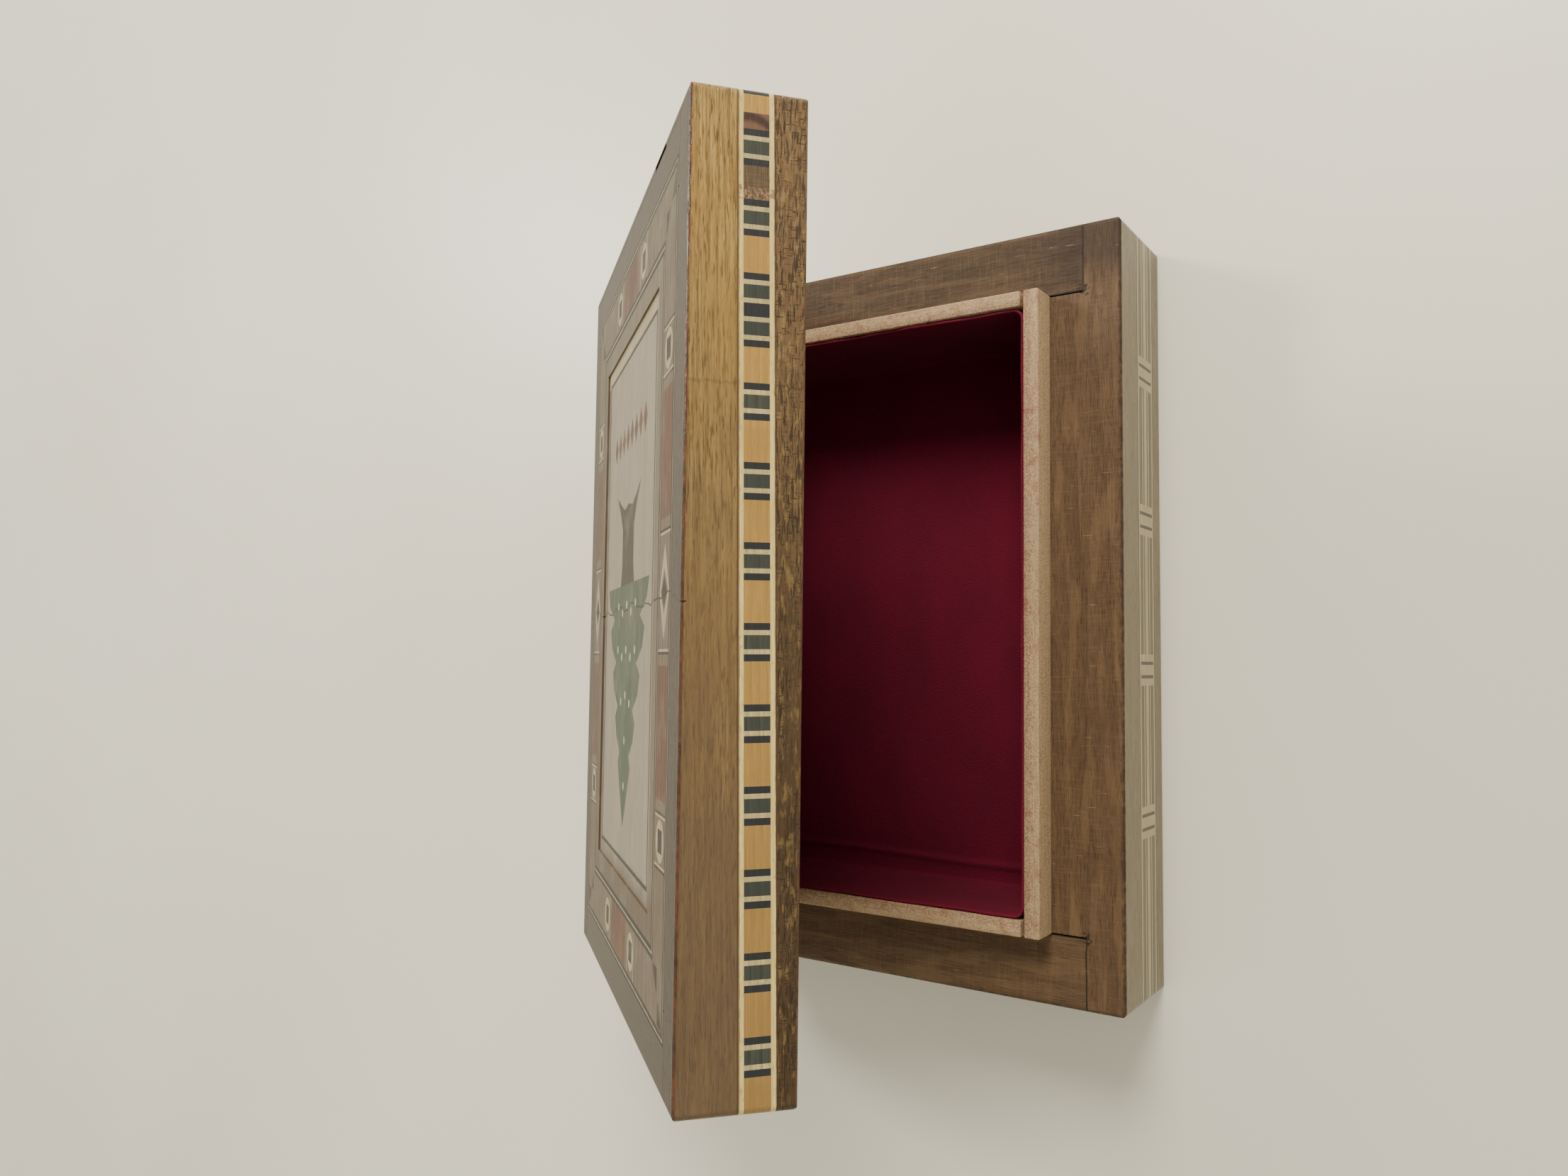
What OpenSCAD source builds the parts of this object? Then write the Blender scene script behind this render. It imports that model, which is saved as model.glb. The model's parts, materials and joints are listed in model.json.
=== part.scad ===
// Hinged wooden puzzle box with an inlaid lid, a flocked tray and a bolt hidden
// behind a lifting end panel.
// X runs along the length, -Y is the front, +Z is up. The origin is the middle
// of the underside of the base. The lid is drawn shut and then swung open.

/* [Overall size] */
// Length of the box, end to end
box_l = 210; // [175:1:255]
// Depth of the box, front to back
box_w = 156; // [130:1:190]
// Height of the base
base_h = 34; // [28:0.5:41]
// Height of the lid
lid_h = 25.7; // [22:0.1:31]
// How far the lid stands open, in degrees
lid_angle = 39.5; // [0:0.5:100]

// Radius of the worn upright corners
corner_r = 1.8; // [0.8:0.1:2.4]
// Radius of the worn long edges
edge_r = 0.8; // [0.3:0.1:1.2]
// Radius of the worn short edges
end_r = 1.5; // [0.3:0.1:1.8]

/* [Boards] */
// Thickness of the front and back boards of the base
wall_t = 19.6; // [18:0.1:24]
// Thickness of the end boards of the base
end_t = 18.8; // [18:0.1:23]
// Thickness of the tongue that laps over the end boards
tongue_t = 10.3; // [8.5:0.1:12.5]
// Open joint between a shoulder and an end board
shoulder_gap = 0.4; // [0.1:0.1:1]
// Gap between the rims when the lid is shut
rim_gap = 0.3; // [0.2:0.05:0.6]
// Room that the lid boards leave round the raised lining
lip_clear = 0.5; // [0.3:0.1:1]
// Thickness of the bottom board
bottom_t = 4; // [3:0.1:5]
// How far the bottom board reaches under the walls
bottom_lap = 8; // [5:0.5:10]
// Thickness of the board let into the top of the lid
top_t = 5.8; // [4.8:0.1:7]

/* [Tray] */
// Thickness of the light wood lining
liner_t = 4.3; // [3.6:0.1:5.2]
// Height of the lining above the rim
lip_h = 9; // [7.5:0.1:11]
// Open joint at each end of the side linings
liner_gap = 0.9; // [0.2:0.1:1.5]
// Thickness of the velvet flock
velvet_t = 0.8; // [0.5:0.1:1]

/* [Hinges] */
// Distance from the back face to the hinge pins
axis_inset = 2.4; // [2.2:0.1:3]
// Radius of the hinge knuckles
knuckle_r = 2; // [1.7:0.1:2.1]
// Radius of the hinge pins
pin_r = 0.9; // [0.7:0.05:1.1]
// Length of one hinge
hinge_l = 22; // [18:1:27]
// Width of one hinge leaf
leaf_w = 13; // [11:0.5:14.5]
// Thickness of a hinge leaf
leaf_t = 1; // [0.8:0.1:1.2]
// Distance from each end of the box to the middle of its hinge
hinge_end = 43; // [34:1:60]
// Length of the leaf screws
screw_l = 8; // [6.5:0.5:10]

/* [Secret lock] */
// Thickness of the lifting end panel
panel_t = 2.6; // [2.2:0.1:3]
// Travel of the bolt
bolt_travel = 7; // [5.5:0.5:8]
// Length of the bolt bar
bolt_l = 35; // [29:1:42]
// Height of the bolt bar
bolt_h = 5; // [4.2:0.1:6]
// Thickness of the bolt bar
bolt_t = 3.4; // [2.8:0.1:4]
// Width of the brass tongue
catch_w = 6; // [5:0.5:7]
// Thickness of the brass tongue
catch_t = 2.4; // [2:0.1:2.5]
// Distance from the back face to the middle of the free tongue
catch_back = 42; // [36:1:50]

/* [Inlay] */
// Thickness of the inlay in the lid's top
inlay_t = 1.8; // [1.5:0.1:2.1]
// Depth of the inlay in the front faces
face_t = 1.4; // [1.1:0.1:1.7]
// Plain border round the top
border = 11; // [9.5:0.5:13]
// Width of the band of motifs
band_w = 13; // [11:0.5:15]
// Plain margin inside the band
margin = 6; // [5:0.5:7]
// How far the picture lies below the top
picture_sink = 0.5; // [0.3:0.1:0.7]
// Slope of the band across the lid's front, in degrees
band_tilt = 0.87; // [0:0.01:1]

/* [Hidden] */
$fn = 48;

// How far a cut passes through a face
cut = 1;
// Clearance of the end panel and of the bolt in their grooves
slide_gap = 0.1;

// Half sizes and levels of the shut box
hx = box_l / 2;
hinge_x = hx - hinge_end;
hy = box_w / 2;
lid_z = base_h + rim_gap;
top_z = lid_z + lid_h;
axis_y = hy - axis_inset;
axis_z = base_h + rim_gap / 2;

// Inner faces of the base walls, and the joint between tongue and end board
in_x = hx - end_t;
in_y = hy - wall_t;
lap_y = hy - tongue_t;
lip_z = base_h + lip_h;

// The lid's front board must clear the raised lining as it swings on its arc
swing_r = axis_y + in_y;
swing_gap = sqrt(pow(swing_r, 2) + pow(lip_h, 2)) - swing_r;
lid_in_x = in_x + lip_clear;
lid_in_y = in_y + swing_gap + lip_clear;

// Levels in the lid, and the edges of what is let into its top
inlay_z = top_z - inlay_t;
ceiling_z = inlay_z - top_t;
top_x = hx - border;
top_y = hy - border;

// ---------------------------------------------------------------- helpers

// Swings what is drawn shut to where the open lid stands
module on_lid() {
    translate([0, axis_y, axis_z]) rotate([-lid_angle, 0, 0])
        translate([0, -axis_y, -axis_z]) children();
}

// A block given by its lowest and highest corners
module block(low, high) {
    translate(low) cube(high - low);
}

// A flat rectangle given by its lowest and highest corners
module patch(low, high) {
    translate(low) square(high - low);
}

// A flat rectangle with round corners
module round_rect(w, d, r) {
    square([w - 2 * r, d], center = true);
    square([w, d - 2 * r], center = true);
    for (sx = [-1, 1], sy = [-1, 1]) translate([sx * (w / 2 - r), sy * (d / 2 - r)]) circle(r);
}

// Keeps what lies within a box with worn edges, between two levels
module worn(low, high) {
    mid = (low + high) / 2;
    intersection() {
        children();
        translate([0, 0, low]) linear_extrude(high - low) round_rect(box_l, box_w, corner_r);
        translate([-hx, 0, mid]) rotate([90, 0, 90]) linear_extrude(box_l)
            round_rect(box_w, high - low, edge_r);
        translate([0, hy, mid]) rotate([90, 0, 0]) linear_extrude(box_w)
            round_rect(box_l, high - low, end_r);
    }
}

// A piece of the base, and a piece of the lid's frame as it stands open
module in_base() { worn(0, base_h) children(); }

module in_lid() { on_lid() worn(lid_z, top_z) children(); }

// Inlay in a front face, from an outline in X and Z
module face_inlay(proud = 0) {
    translate([0, face_t - hy, 0]) rotate([90, 0, 0]) linear_extrude(face_t + proud) children();
}

// Inlay in the lid's top, from an outline in X and Y
module top_inlay(sink = 0) {
    translate([0, 0, inlay_z]) linear_extrude(inlay_t - sink) children();
}

// ------------------------------------------------------------ base boards

// Front or back board of the base, drawn with its outer face to -Y
module long_base_board() {
    difference() {
        union() {
            block([-hx, -hy, 0], [hx, -lap_y, base_h]);
            block([shoulder_gap - in_x, -lap_y, 0], [in_x - shoulder_gap, -in_y, base_h]);
        }
        bottom_recess();
    }
}

// Room for the bottom board in the lower edges of the walls
module bottom_recess() {
    x = in_x + bottom_lap;
    y = in_y + bottom_lap;
    block([-x, -y, -cut], [x, y, bottom_t]);
}

module base_front() {
    color("#6b543c") in_base() difference() {
        long_base_board();
        face_inlay(cut) patch([-hx - cut, base_band_low], [hx + cut, base_band_low + base_band_h]);
    }
}

module base_back() {
    color("#66503a") in_base() difference() {
        mirror([0, 1, 0]) long_base_board();
        back_bevel();
        hinge_mortises();
        hinge_screws_base();
    }
}

// End board of the base, on the side that s gives
module base_end(s) {
    x = s * (in_x + hx) / 2;
    difference() {
        block([x - end_t / 2, -lap_y, 0], [x + end_t / 2, lap_y, base_h]);
        bottom_recess();
    }
}

module base_left() { color("#6e563d") in_base() base_end(-1); }

module base_right() { color("#6b5238") in_base() base_end(1); }

module base_bottom() {
    x = in_x + bottom_lap - slide_gap;
    y = in_y + bottom_lap - slide_gap;
    color("#8a6f4f") block([-x, -y, 0], [x, y, bottom_t]);
}

// ------------------------------------------------------------ tray lining

velvet_corner_r = 3;
velvet_drop = 0.4;
tray_x = in_x - liner_t;
tray_y = in_y - liner_t;

module liner_front() {
    color("#b5a08a") block([-in_x, -in_y, bottom_t], [in_x, -tray_y, lip_z]);
}

module liner_back() {
    color("#b5a08a") block([-in_x, tray_y, bottom_t], [in_x, in_y, lip_z]);
}

module liner_left() {
    half = tray_y - liner_gap;
    color("#b09a83") block([-in_x, -half, bottom_t], [-tray_x, half, lip_z]);
}

module liner_right() {
    half = tray_y - liner_gap;
    color("#b09a83") difference() {
        block([tray_x, -half, bottom_t], [in_x, half, lip_z]);
        catch_notch();
    }
}

module velvet_floor() {
    color("#4a0714") translate([0, 0, bottom_t]) linear_extrude(velvet_t)
        round_rect(2 * tray_x, 2 * tray_y, velvet_corner_r);
}

module velvet_walls() {
    height = lip_z - bottom_t - velvet_t - velvet_drop;
    color("#5a0a1e") translate([0, 0, bottom_t + velvet_t]) linear_extrude(height) difference() {
        square([2 * tray_x, 2 * tray_y], center = true);
        round_rect(2 * (tray_x - velvet_t), 2 * (tray_y - velvet_t), velvet_corner_r);
    }
}

// --------------------------------------------- inlay across the base front

base_band_top = 14;
base_band_h = 13;
base_line_h = 1;
base_block_w = 8.5;
base_block_pitch = 0.1957 * box_l;
base_block_shift = 4.5;
base_band_low = base_h - base_band_top - base_band_h;
base_ground_h = base_band_h - 2 * base_line_h;
base_mid_z = base_band_low + base_band_h / 2;
base_blocks = [for (i = [0:3]) base_block_shift + (i - 1.5) * base_block_pitch];
// Half widths of the middle bar of a block and of the dark bars beside it
bar_edges = [1.4, 2.3];
centre_h = 2.2;
thin_h = 0.7;
thin_z = 2.75;
dark_h = 0.5;
dark_z = 3.45;

// Plain stretches between the blocks, as pairs of X values
base_runs = [for (i = [0:4]) [i == 0 ? -hx : base_blocks[i - 1] + base_block_w / 2,
    i == 4 ? hx : base_blocks[i] - base_block_w / 2]];

// A line along every stretch, z away from the middle of the band
module base_line(z, h) {
    for (run = base_runs) patch([run[0], base_mid_z + z - h / 2], [run[1], base_mid_z + z + h / 2]);
}

// A pair of upright bars in every block, between two distances from its middle
module base_bars(near, far) {
    z = base_mid_z - base_ground_h / 2;
    for (x = base_blocks, s = [-1, 1])
        patch([x + (s > 0 ? near : -far), z], [x + (s > 0 ? far : -near), z + base_ground_h]);
}

module base_pale_outline() {
    base_line(0, centre_h);
    for (s = [-1, 1]) base_line(s * thin_z, thin_h);
    base_bars(0, bar_edges[0]);
    base_bars(bar_edges[1], base_block_w / 2);
}

module base_dark_outline() {
    for (s = [-1, 1]) base_line(s * dark_z, dark_h);
    base_bars(bar_edges[0], bar_edges[1]);
}

module base_stringing() {
    color("#c9bb93") in_base() face_inlay()
        for (z = [base_band_low, base_band_low + base_band_h - base_line_h])
            patch([-hx, z], [hx, z + base_line_h]);
}

module base_band_ground() {
    color("#8d8266") in_base() face_inlay() difference() {
        patch([-hx, base_mid_z - base_ground_h / 2], [hx, base_mid_z + base_ground_h / 2]);
        base_pale_outline();
        base_dark_outline();
    }
}

module base_band_pale() { color("#e0d4ab") in_base() face_inlay() base_pale_outline(); }

module base_band_dark() { color("#3a3a36") in_base() face_inlay() base_dark_outline(); }

// -------------------------------------------------------------- lid boards

// Front or back board of the lid, drawn shut with its outer face to -Y
module long_lid_board() {
    difference() {
        union() {
            block([-hx, -hy, lid_z], [hx, -lap_y, top_z]);
            block([shoulder_gap - lid_in_x, -lap_y, lid_z], [lid_in_x - shoulder_gap, -lid_in_y, top_z]);
        }
        top_recess();
        panel_groove();
    }
}

// Room for the board and the inlay let into the top
module top_recess() {
    block([-top_x, -top_y, ceiling_z], [top_x, top_y, top_z + cut]);
}

module lid_front() {
    color("#8f7446") in_lid() difference() {
        long_lid_board();
        face_inlay(cut) sloping() whole_band(2 * cut);
    }
}

module lid_back() {
    color("#6e5a40") difference() {
        in_lid() difference() {
            mirror([0, 1, 0]) long_lid_board();
            back_bevel();
            hinge_mortises();
        }
        hinge_screws_lid();
    }
}

module lid_left() {
    color("#77603f") in_lid() difference() {
        block([-hx, -lap_y, lid_z], [-lid_in_x, lap_y, top_z]);
        top_recess();
    }
}

module lid_right() {
    color("#77603f") in_lid() difference() {
        block([lid_in_x, -lap_y, lid_z], [hx, lap_y, top_z]);
        top_recess();
        block([panel_x - slide_gap, -lap_y - cut, panel_z], [hx + cut, lap_y + cut, top_z + cut]);
        bolt_channel();
        keeper_seat();
    }
}

module lid_top_board() {
    color("#a08a62") on_lid() block([-top_x, -top_y, ceiling_z], [top_x, top_y, inlay_z]);
}

module lid_lining() {
    x = lid_in_x - lip_clear;
    y = lid_in_y - lip_clear;
    color("#5a0a1e") on_lid() translate([0, 0, ceiling_z - velvet_t]) linear_extrude(velvet_t)
        round_rect(2 * x, 2 * y, velvet_corner_r);
}

// --------------------------------------------- inlay across the lid front

strip_h = 1.1;
block_h = 5.6;
band_drop = 15.7;
// Distances from the right end to the start of each striped group
group_w = 7.8;
group_pitch = 16.5;
first_regular = 62.6;
worn_groups = [8.9, 23.9, 39.5, 47.3];
group_count = floor((box_l - first_regular) / group_pitch) + 1;
groups = concat(worn_groups, [for (i = [0:group_count - 1]) first_regular + i * group_pitch]);
// Widths of the stripes in a group, from its edge to its middle
dark_bar = 1.45;
cream_bar = 1;
// Dark end piece, and the mended pieces near the right end
end_bar = 1.45;
mended = [[5.4, worn_groups[0]], [worn_groups[0] + group_w, worn_groups[1]]];

// Outlines of the band, sloped across the lid's front and trimmed at its ends
module sloping() {
    intersection() {
        patch([-hx - cut, lid_z], [hx + cut, top_z]);
        translate([0, top_z - band_drop]) rotate(band_tilt) children();
    }
}

// The band with its stringing, reaching past both ends
module whole_band(past) {
    half = block_h / 2 + strip_h;
    patch([-hx - past, -half], [hx + past, half]);
}

// A piece of the band between two distances from the right end
module piece(u0, u1) {
    patch([hx - u1, -block_h / 2], [hx - u0, block_h / 2]);
}

// Keeps a piece of the band within the ends of the box
module band_node() {
    in_lid() face_inlay() intersection() {
        patch([-hx, lid_z], [hx, top_z]);
        sloping() children();
    }
}

// Pairs of stripes in every group, between two distances from its edges
module group_stripes(near, far) {
    for (u = groups) {
        piece(u + near, u + far);
        piece(u + group_w - far, u + group_w - near);
    }
}

module dark_stripes() {
    piece(-cut, end_bar);
    group_stripes(0, dark_bar);
}

module whole_groups() {
    for (u = groups) piece(u, u + group_w);
}

module mended_pieces() {
    for (m = mended) piece(m[0], m[1]);
}

module front_band_lines() {
    color("#e6dcb0") band_node() difference() {
        whole_band(cut);
        piece(-2 * cut, box_l + 2 * cut);
    }
}

module front_band_dark() { color("#252a30") band_node() dark_stripes(); }

module front_band_cream() {
    color("#e6dcb0") band_node() group_stripes(dark_bar, dark_bar + cream_bar);
}

module front_band_green() {
    color("#3f4a45") band_node() for (u = groups)
        piece(u + dark_bar + cream_bar, u + group_w - dark_bar - cream_bar);
}

module front_band_brown() { color("#5b4630") band_node() mended_pieces(); }

module front_band_orange() {
    color("#c8a060") band_node() difference() {
        piece(end_bar, box_l + cut);
        whole_groups();
        mended_pieces();
    }
}

// ------------------------------------------------- inlay in the lid's top

line_dark = 0.7;
line_pale = 0.9;
band_in = border + line_dark + line_pale;
inner_in = band_in + band_w;
margin_in = inner_in + line_pale + line_dark;
picture_in = margin_in + margin;
// Middle of the band along the front, and along the ends
band_mid_y = hy - band_in - band_w / 2;
band_mid_x = hx - band_in - band_w / 2;
// Half size of a motif, of the long middle motif and of the bars beside them
motif = 5;
long_motif = 12.5;
bar = 0.6;
// Places of the motifs along the long and the short stretches
long_places = [-0.51 * hx, 0.51 * hx];
short_places = [-0.27 * hy, 0.27 * hy];
redwood_gap = 2.4;

// A flat frame between two distances in from the edges of the box
module frame(outer, inner) {
    difference() {
        square([box_l - 2 * outer, box_w - 2 * outer], center = true);
        square([box_l - 2 * inner, box_w - 2 * inner], center = true);
    }
}

// Everywhere that a square motif goes, drawn upright along the band
module at_squares() {
    for (x = long_places, s = [-1, 1]) translate([x, s * band_mid_y]) children();
    for (y = short_places, s = [-1, 1]) translate([s * band_mid_x, y]) rotate(90) children();
}

// The middle of both long stretches
module at_middles() {
    for (s = [-1, 1]) translate([0, s * band_mid_y]) children();
}

// The four corners of the band
module at_corners() {
    for (sx = [-1, 1], sy = [-1, 1]) translate([sx * band_mid_x, sy * band_mid_y])
        rotate(sx * sy > 0 ? 0 : 90) children();
}

// A bar across the band on both sides of a motif
module flank(near, far) {
    for (s = [-1, 1]) patch([s > 0 ? near : -far, -band_w / 2], [s > 0 ? far : -near, band_w / 2]);
}

// A lozenge with its long half-diagonal along X
module lozenge(rx, ry) {
    polygon([[rx, 0], [0, ry], [-rx, 0], [0, -ry]]);
}

// Four points of a pinwheel round a corner
module pinwheel(r) {
    for (a = [0, 180]) rotate(a) polygon([[0.3, 0.3], [r, 0.3], [r, r], [r * 0.45, r * 0.55]]);
}

module band_redwood_outline() {
    x0 = long_motif + 2 * bar + redwood_gap;
    x1 = long_places[1] - motif - 2 * bar - redwood_gap;
    half = band_w / 2 - bar;
    for (sx = [-1, 1], sy = [-1, 1])
        patch([sx > 0 ? x0 : -x1, sy * band_mid_y - half], [sx > 0 ? x1 : -x0, sy * band_mid_y + half]);
    y1 = short_places[1] - motif - 2 * bar - redwood_gap;
    for (s = [-1, 1]) patch([s * band_mid_x - half, -y1], [s * band_mid_x + half, y1]);
}

module band_dark_outline() {
    at_squares() {
        square(motif, center = true);
        flank(motif + bar, motif + 2 * bar);
    }
    at_middles() {
        lozenge(3.4, 3);
        flank(long_motif + bar, long_motif + 2 * bar);
    }
    at_corners() pinwheel(band_w / 2 - 0.8);
}

module band_pale_outline() {
    at_squares() {
        difference() {
            circle(motif - 0.4);
            square(motif, center = true);
        }
        flank(motif, motif + bar);
    }
    at_middles() {
        difference() {
            lozenge(long_motif - 2, band_w / 2 - 0.6);
            lozenge(5, 4.4);
        }
        flank(long_motif, long_motif + bar);
    }
}

module outer_line_dark() { color("#2c241c") on_lid() top_inlay() frame(border, border + line_dark); }

module outer_line_pale() { color("#c9b992") on_lid() top_inlay() frame(border + line_dark, band_in); }

module band_ground() {
    color("#b3a07a") on_lid() top_inlay() difference() {
        frame(band_in, inner_in);
        band_redwood_outline();
        band_dark_outline();
        band_pale_outline();
    }
}

module band_redwood() { color("#7a4f38") on_lid() top_inlay() band_redwood_outline(); }

module band_dark() { color("#3b2d24") on_lid() top_inlay() band_dark_outline(); }

module band_pale() { color("#ddd0a4") on_lid() top_inlay() band_pale_outline(); }

module inner_line_pale() { color("#c9b992") on_lid() top_inlay() frame(inner_in, inner_in + line_pale); }

module inner_line_dark() { color("#2c241c") on_lid() top_inlay() frame(inner_in + line_pale, margin_in); }

module top_margin() { color("#a8956f") on_lid() top_inlay() frame(margin_in, picture_in); }

// ------------------------------------------------------------ the picture

edging = 4.5;
// Half length and half width of the picture
picture_x = hx - picture_in;
picture_y = hy - picture_in;
// The tree stands along the box, with its top towards the left end
tree_foot = 0.43 * picture_x;
tree_fork = 0.03 * picture_x;
tree_top = -0.82 * picture_x;
tree_half = 0.8 * picture_y;
tiers = 5;
tier_step = (tree_fork - tree_top) / (tiers + 0.1);
// Depth of the valley between two tiers, as a share of the lower tier's half width
valley = 0.76;
// How far the tips droop below their tier, and how blunt they are
tip_droop = 3;
tip_w = 5;
trunk_half = 10;
root_half = 21;
dot_r = 1.1;
dot_pitch = 7.5;
dot_rise = 2.5;
dot_zigzag = 2;
lozenge_count = 8;
lozenge_x = 0.63 * picture_x;
lozenge_pitch = 1.3 * picture_y / lozenge_count;
// Half length of a lozenge along the box, and half its width
lozenge_size = [4, 0.4 * lozenge_pitch];

// Place of tier i along the tree, and its half width
function tier_x(i) = tree_fork - i * tier_step;
function tier_y(i) = tree_half * pow(1 - i / (tiers + 0.3), 0.85);

// One jagged edge of the canopy, from the foot to the last tier
canopy_edge = [for (i = [0:tiers - 1]) each concat([[tier_x(i) + tip_droop, tier_y(i)],
    [tier_x(i) + tip_droop - tip_w, tier_y(i) - tip_w * 0.6]],
    i < tiers - 1 ? [[tier_x(i + 1) + 2 * tip_droop, tier_y(i + 1) * valley]] : [])];

module canopy_outline() {
    left_edge = [for (i = [len(canopy_edge) - 1:-1:0]) [canopy_edge[i][0], -canopy_edge[i][1]]];
    polygon(concat(canopy_edge, [[tree_top, 0]], left_edge));
}

// Small pale dots set in rows across the tiers
module dots_outline() {
    for (i = [0:tiers - 1]) {
        reach = floor((tier_y(i + 1) * valley - dot_r) / dot_pitch);
        for (j = [-reach:reach])
            translate([tier_x(i) - dot_rise - dot_zigzag * abs(j % 2), j * dot_pitch]) circle(dot_r);
    }
}

module trunk_outline() {
    waist = (tree_foot + tree_fork) / 2;
    edge = [[tree_fork, trunk_half + 3], [waist - 6, trunk_half], [waist + 4, trunk_half],
        [tree_foot - 6, trunk_half + 4], [tree_foot, root_half], [tree_foot - 3, trunk_half + 3],
        [tree_foot - 5, trunk_half - 3], [tree_foot - 4, 0]];
    left_edge = [for (i = [len(edge) - 2:-1:0]) [edge[i][0], -edge[i][1]]];
    difference() {
        polygon(concat(edge, left_edge));
        canopy_outline();
    }
}

module lozenge_row() {
    for (i = [0:lozenge_count - 1]) translate([lozenge_x, (i - (lozenge_count - 1) / 2) * lozenge_pitch])
        lozenge(lozenge_size[0], lozenge_size[1]);
}

module edging_outline() {
    patch([picture_x - edging, -picture_y], [picture_x, picture_y]);
}

module picture_edging() { color("#cbbd96") on_lid() top_inlay(picture_sink) edging_outline(); }

module tree_canopy() {
    color("#4d5b47") on_lid() top_inlay(picture_sink) difference() {
        canopy_outline();
        dots_outline();
    }
}

module tree_dots() { color("#b9bda2") on_lid() top_inlay(picture_sink) dots_outline(); }

module tree_trunk() { color("#5d4a3c") on_lid() top_inlay(picture_sink) trunk_outline(); }

module picture_lozenges() { color("#6a4438") on_lid() top_inlay(picture_sink) lozenge_row(); }

module picture_ground() {
    color("#b8ab8a") on_lid() top_inlay(picture_sink) difference() {
        square([2 * picture_x, 2 * picture_y], center = true);
        edging_outline();
        canopy_outline();
        trunk_outline();
        lozenge_row();
    }
}

// ------------------------------------------------------------ secret lock

// The end panel stands on a ledge and lifts in grooves in the long boards
ledge_h = 3;
panel_x = hx - panel_t;
panel_z = lid_z + ledge_h;
panel_tongue_t = 1.2;
panel_tongue_w = 1.8;
// Nail nick in the panel's top edge
nick_l = 14;
nick_d = 1.2;
nick_h = 2.2;
nick_y = 24 - lap_y;

// The bolt lies in a channel behind the panel; its tongue reaches the lining
bolt_past = 1.5;
keeper_t = 1;
keeper_screw_r = 0.8;
keeper_screw_head = 1.5;
keeper_screw_l = 6;
pin_r_less = 1;
bolt_gap = 0.2;
bolt_x = panel_x - 3 * slide_gap - keeper_t;
bolt_z = panel_z + 2 * bolt_gap;
catch_y = hy - catch_back;
catch_in = 1.4;
bolt_back = catch_y + catch_w / 2 + bolt_past;
bolt_front = bolt_back - bolt_l;
pin_back = 5;
keeper_w = 10;
keeper_h = 8;
keeper_lap = 1.6;
keeper_z = bolt_z + bolt_h - keeper_lap;
keeper_y = (bolt_front + bolt_back) / 2;
// Room round the tongue in its notch, and for the arc it comes down on
catch_room = 0.5;
catch_arc = 1.2;

// Upright groove for one edge of the panel, open at the top
module panel_groove() {
    block([panel_x - slide_gap, -lap_y - panel_tongue_w - slide_gap, panel_z],
        [panel_x + panel_tongue_t + slide_gap, cut - lap_y, top_z + cut]);
}

module end_panel() {
    y = lap_y - slide_gap;
    color("#7d643f") in_lid() difference() {
        union() {
            block([panel_x, -y, panel_z + slide_gap], [hx, y, top_z]);
            block([panel_x, -lap_y - panel_tongue_w, panel_z + slide_gap],
                [panel_x + panel_tongue_t, lap_y + panel_tongue_w, top_z]);
        }
        block([panel_x - cut, nick_y - nick_l / 2, top_z - nick_h],
            [panel_x + nick_d, nick_y + nick_l / 2, top_z + cut]);
    }
}

// Channel for the bar, and the slot through which the tongue passes
module bolt_channel() {
    block([bolt_x - bolt_t - bolt_gap, bolt_front - bolt_travel - bolt_gap, bolt_z - bolt_gap],
        [hx + cut, bolt_back + bolt_gap, bolt_z + bolt_h + bolt_gap]);
    block([lid_in_x - cut, catch_y - catch_w / 2 - bolt_travel - bolt_gap, bolt_z - bolt_gap],
        [bolt_x, catch_y + catch_w / 2 + bolt_gap, bolt_z + catch_t + bolt_gap]);
}

// The tongue's way into the lining: down from its top edge, then forward
module catch_notch() {
    deep_x = tray_x + catch_in - 2 * bolt_gap;
    low_z = bolt_z - catch_room;
    front_y = catch_y - catch_w / 2 - catch_room;
    block([deep_x, front_y, low_z], [in_x + cut, catch_y + catch_w / 2 + catch_arc, lip_z + cut]);
    block([deep_x, front_y - bolt_travel, low_z], [in_x + cut, front_y + cut, bolt_z + catch_t + catch_room]);
}

module catch_solid() {
    block([tray_x + catch_in, catch_y - catch_w / 2, bolt_z], [bolt_x, catch_y + catch_w / 2, bolt_z + catch_t]);
}

module bolt_pin_solid() {
    pin_l = bolt_t / 2 + keeper_t;
    translate([bolt_x - bolt_t / 2, bolt_front + pin_back, bolt_z + bolt_h / 2]) rotate([0, 90, 0])
        cylinder(h = pin_l, r = bolt_h / 2 - pin_r_less);
}

module bolt_bar() {
    color("#b08d57") on_lid() difference() {
        block([bolt_x - bolt_t, bolt_front, bolt_z], [bolt_x, bolt_back, bolt_z + bolt_h]);
        catch_solid();
        bolt_pin_solid();
    }
}

module bolt_tongue() { color("#b5903c") on_lid() catch_solid(); }

module bolt_pin() { color("#b5903c") on_lid() bolt_pin_solid(); }

module keeper_seat() {
    z = bolt_z + bolt_h;
    block([bolt_x + slide_gap, keeper_y - keeper_w / 2 - slide_gap, z],
        [hx, keeper_y + keeper_w / 2 + slide_gap, keeper_z + keeper_h + slide_gap]);
    keeper_screw_solids();
}

module keeper_screw_solids() {
    z = (bolt_z + bolt_h + bolt_gap + keeper_z + keeper_h) / 2;
    for (s = [-1, 1]) translate([bolt_x + slide_gap + keeper_t, keeper_y + s * keeper_w / 4, z])
        rotate([0, -90, 0])
            wood_screw(keeper_screw_head, keeper_screw_r, keeper_t * 0.8, keeper_screw_l);
}

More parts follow.
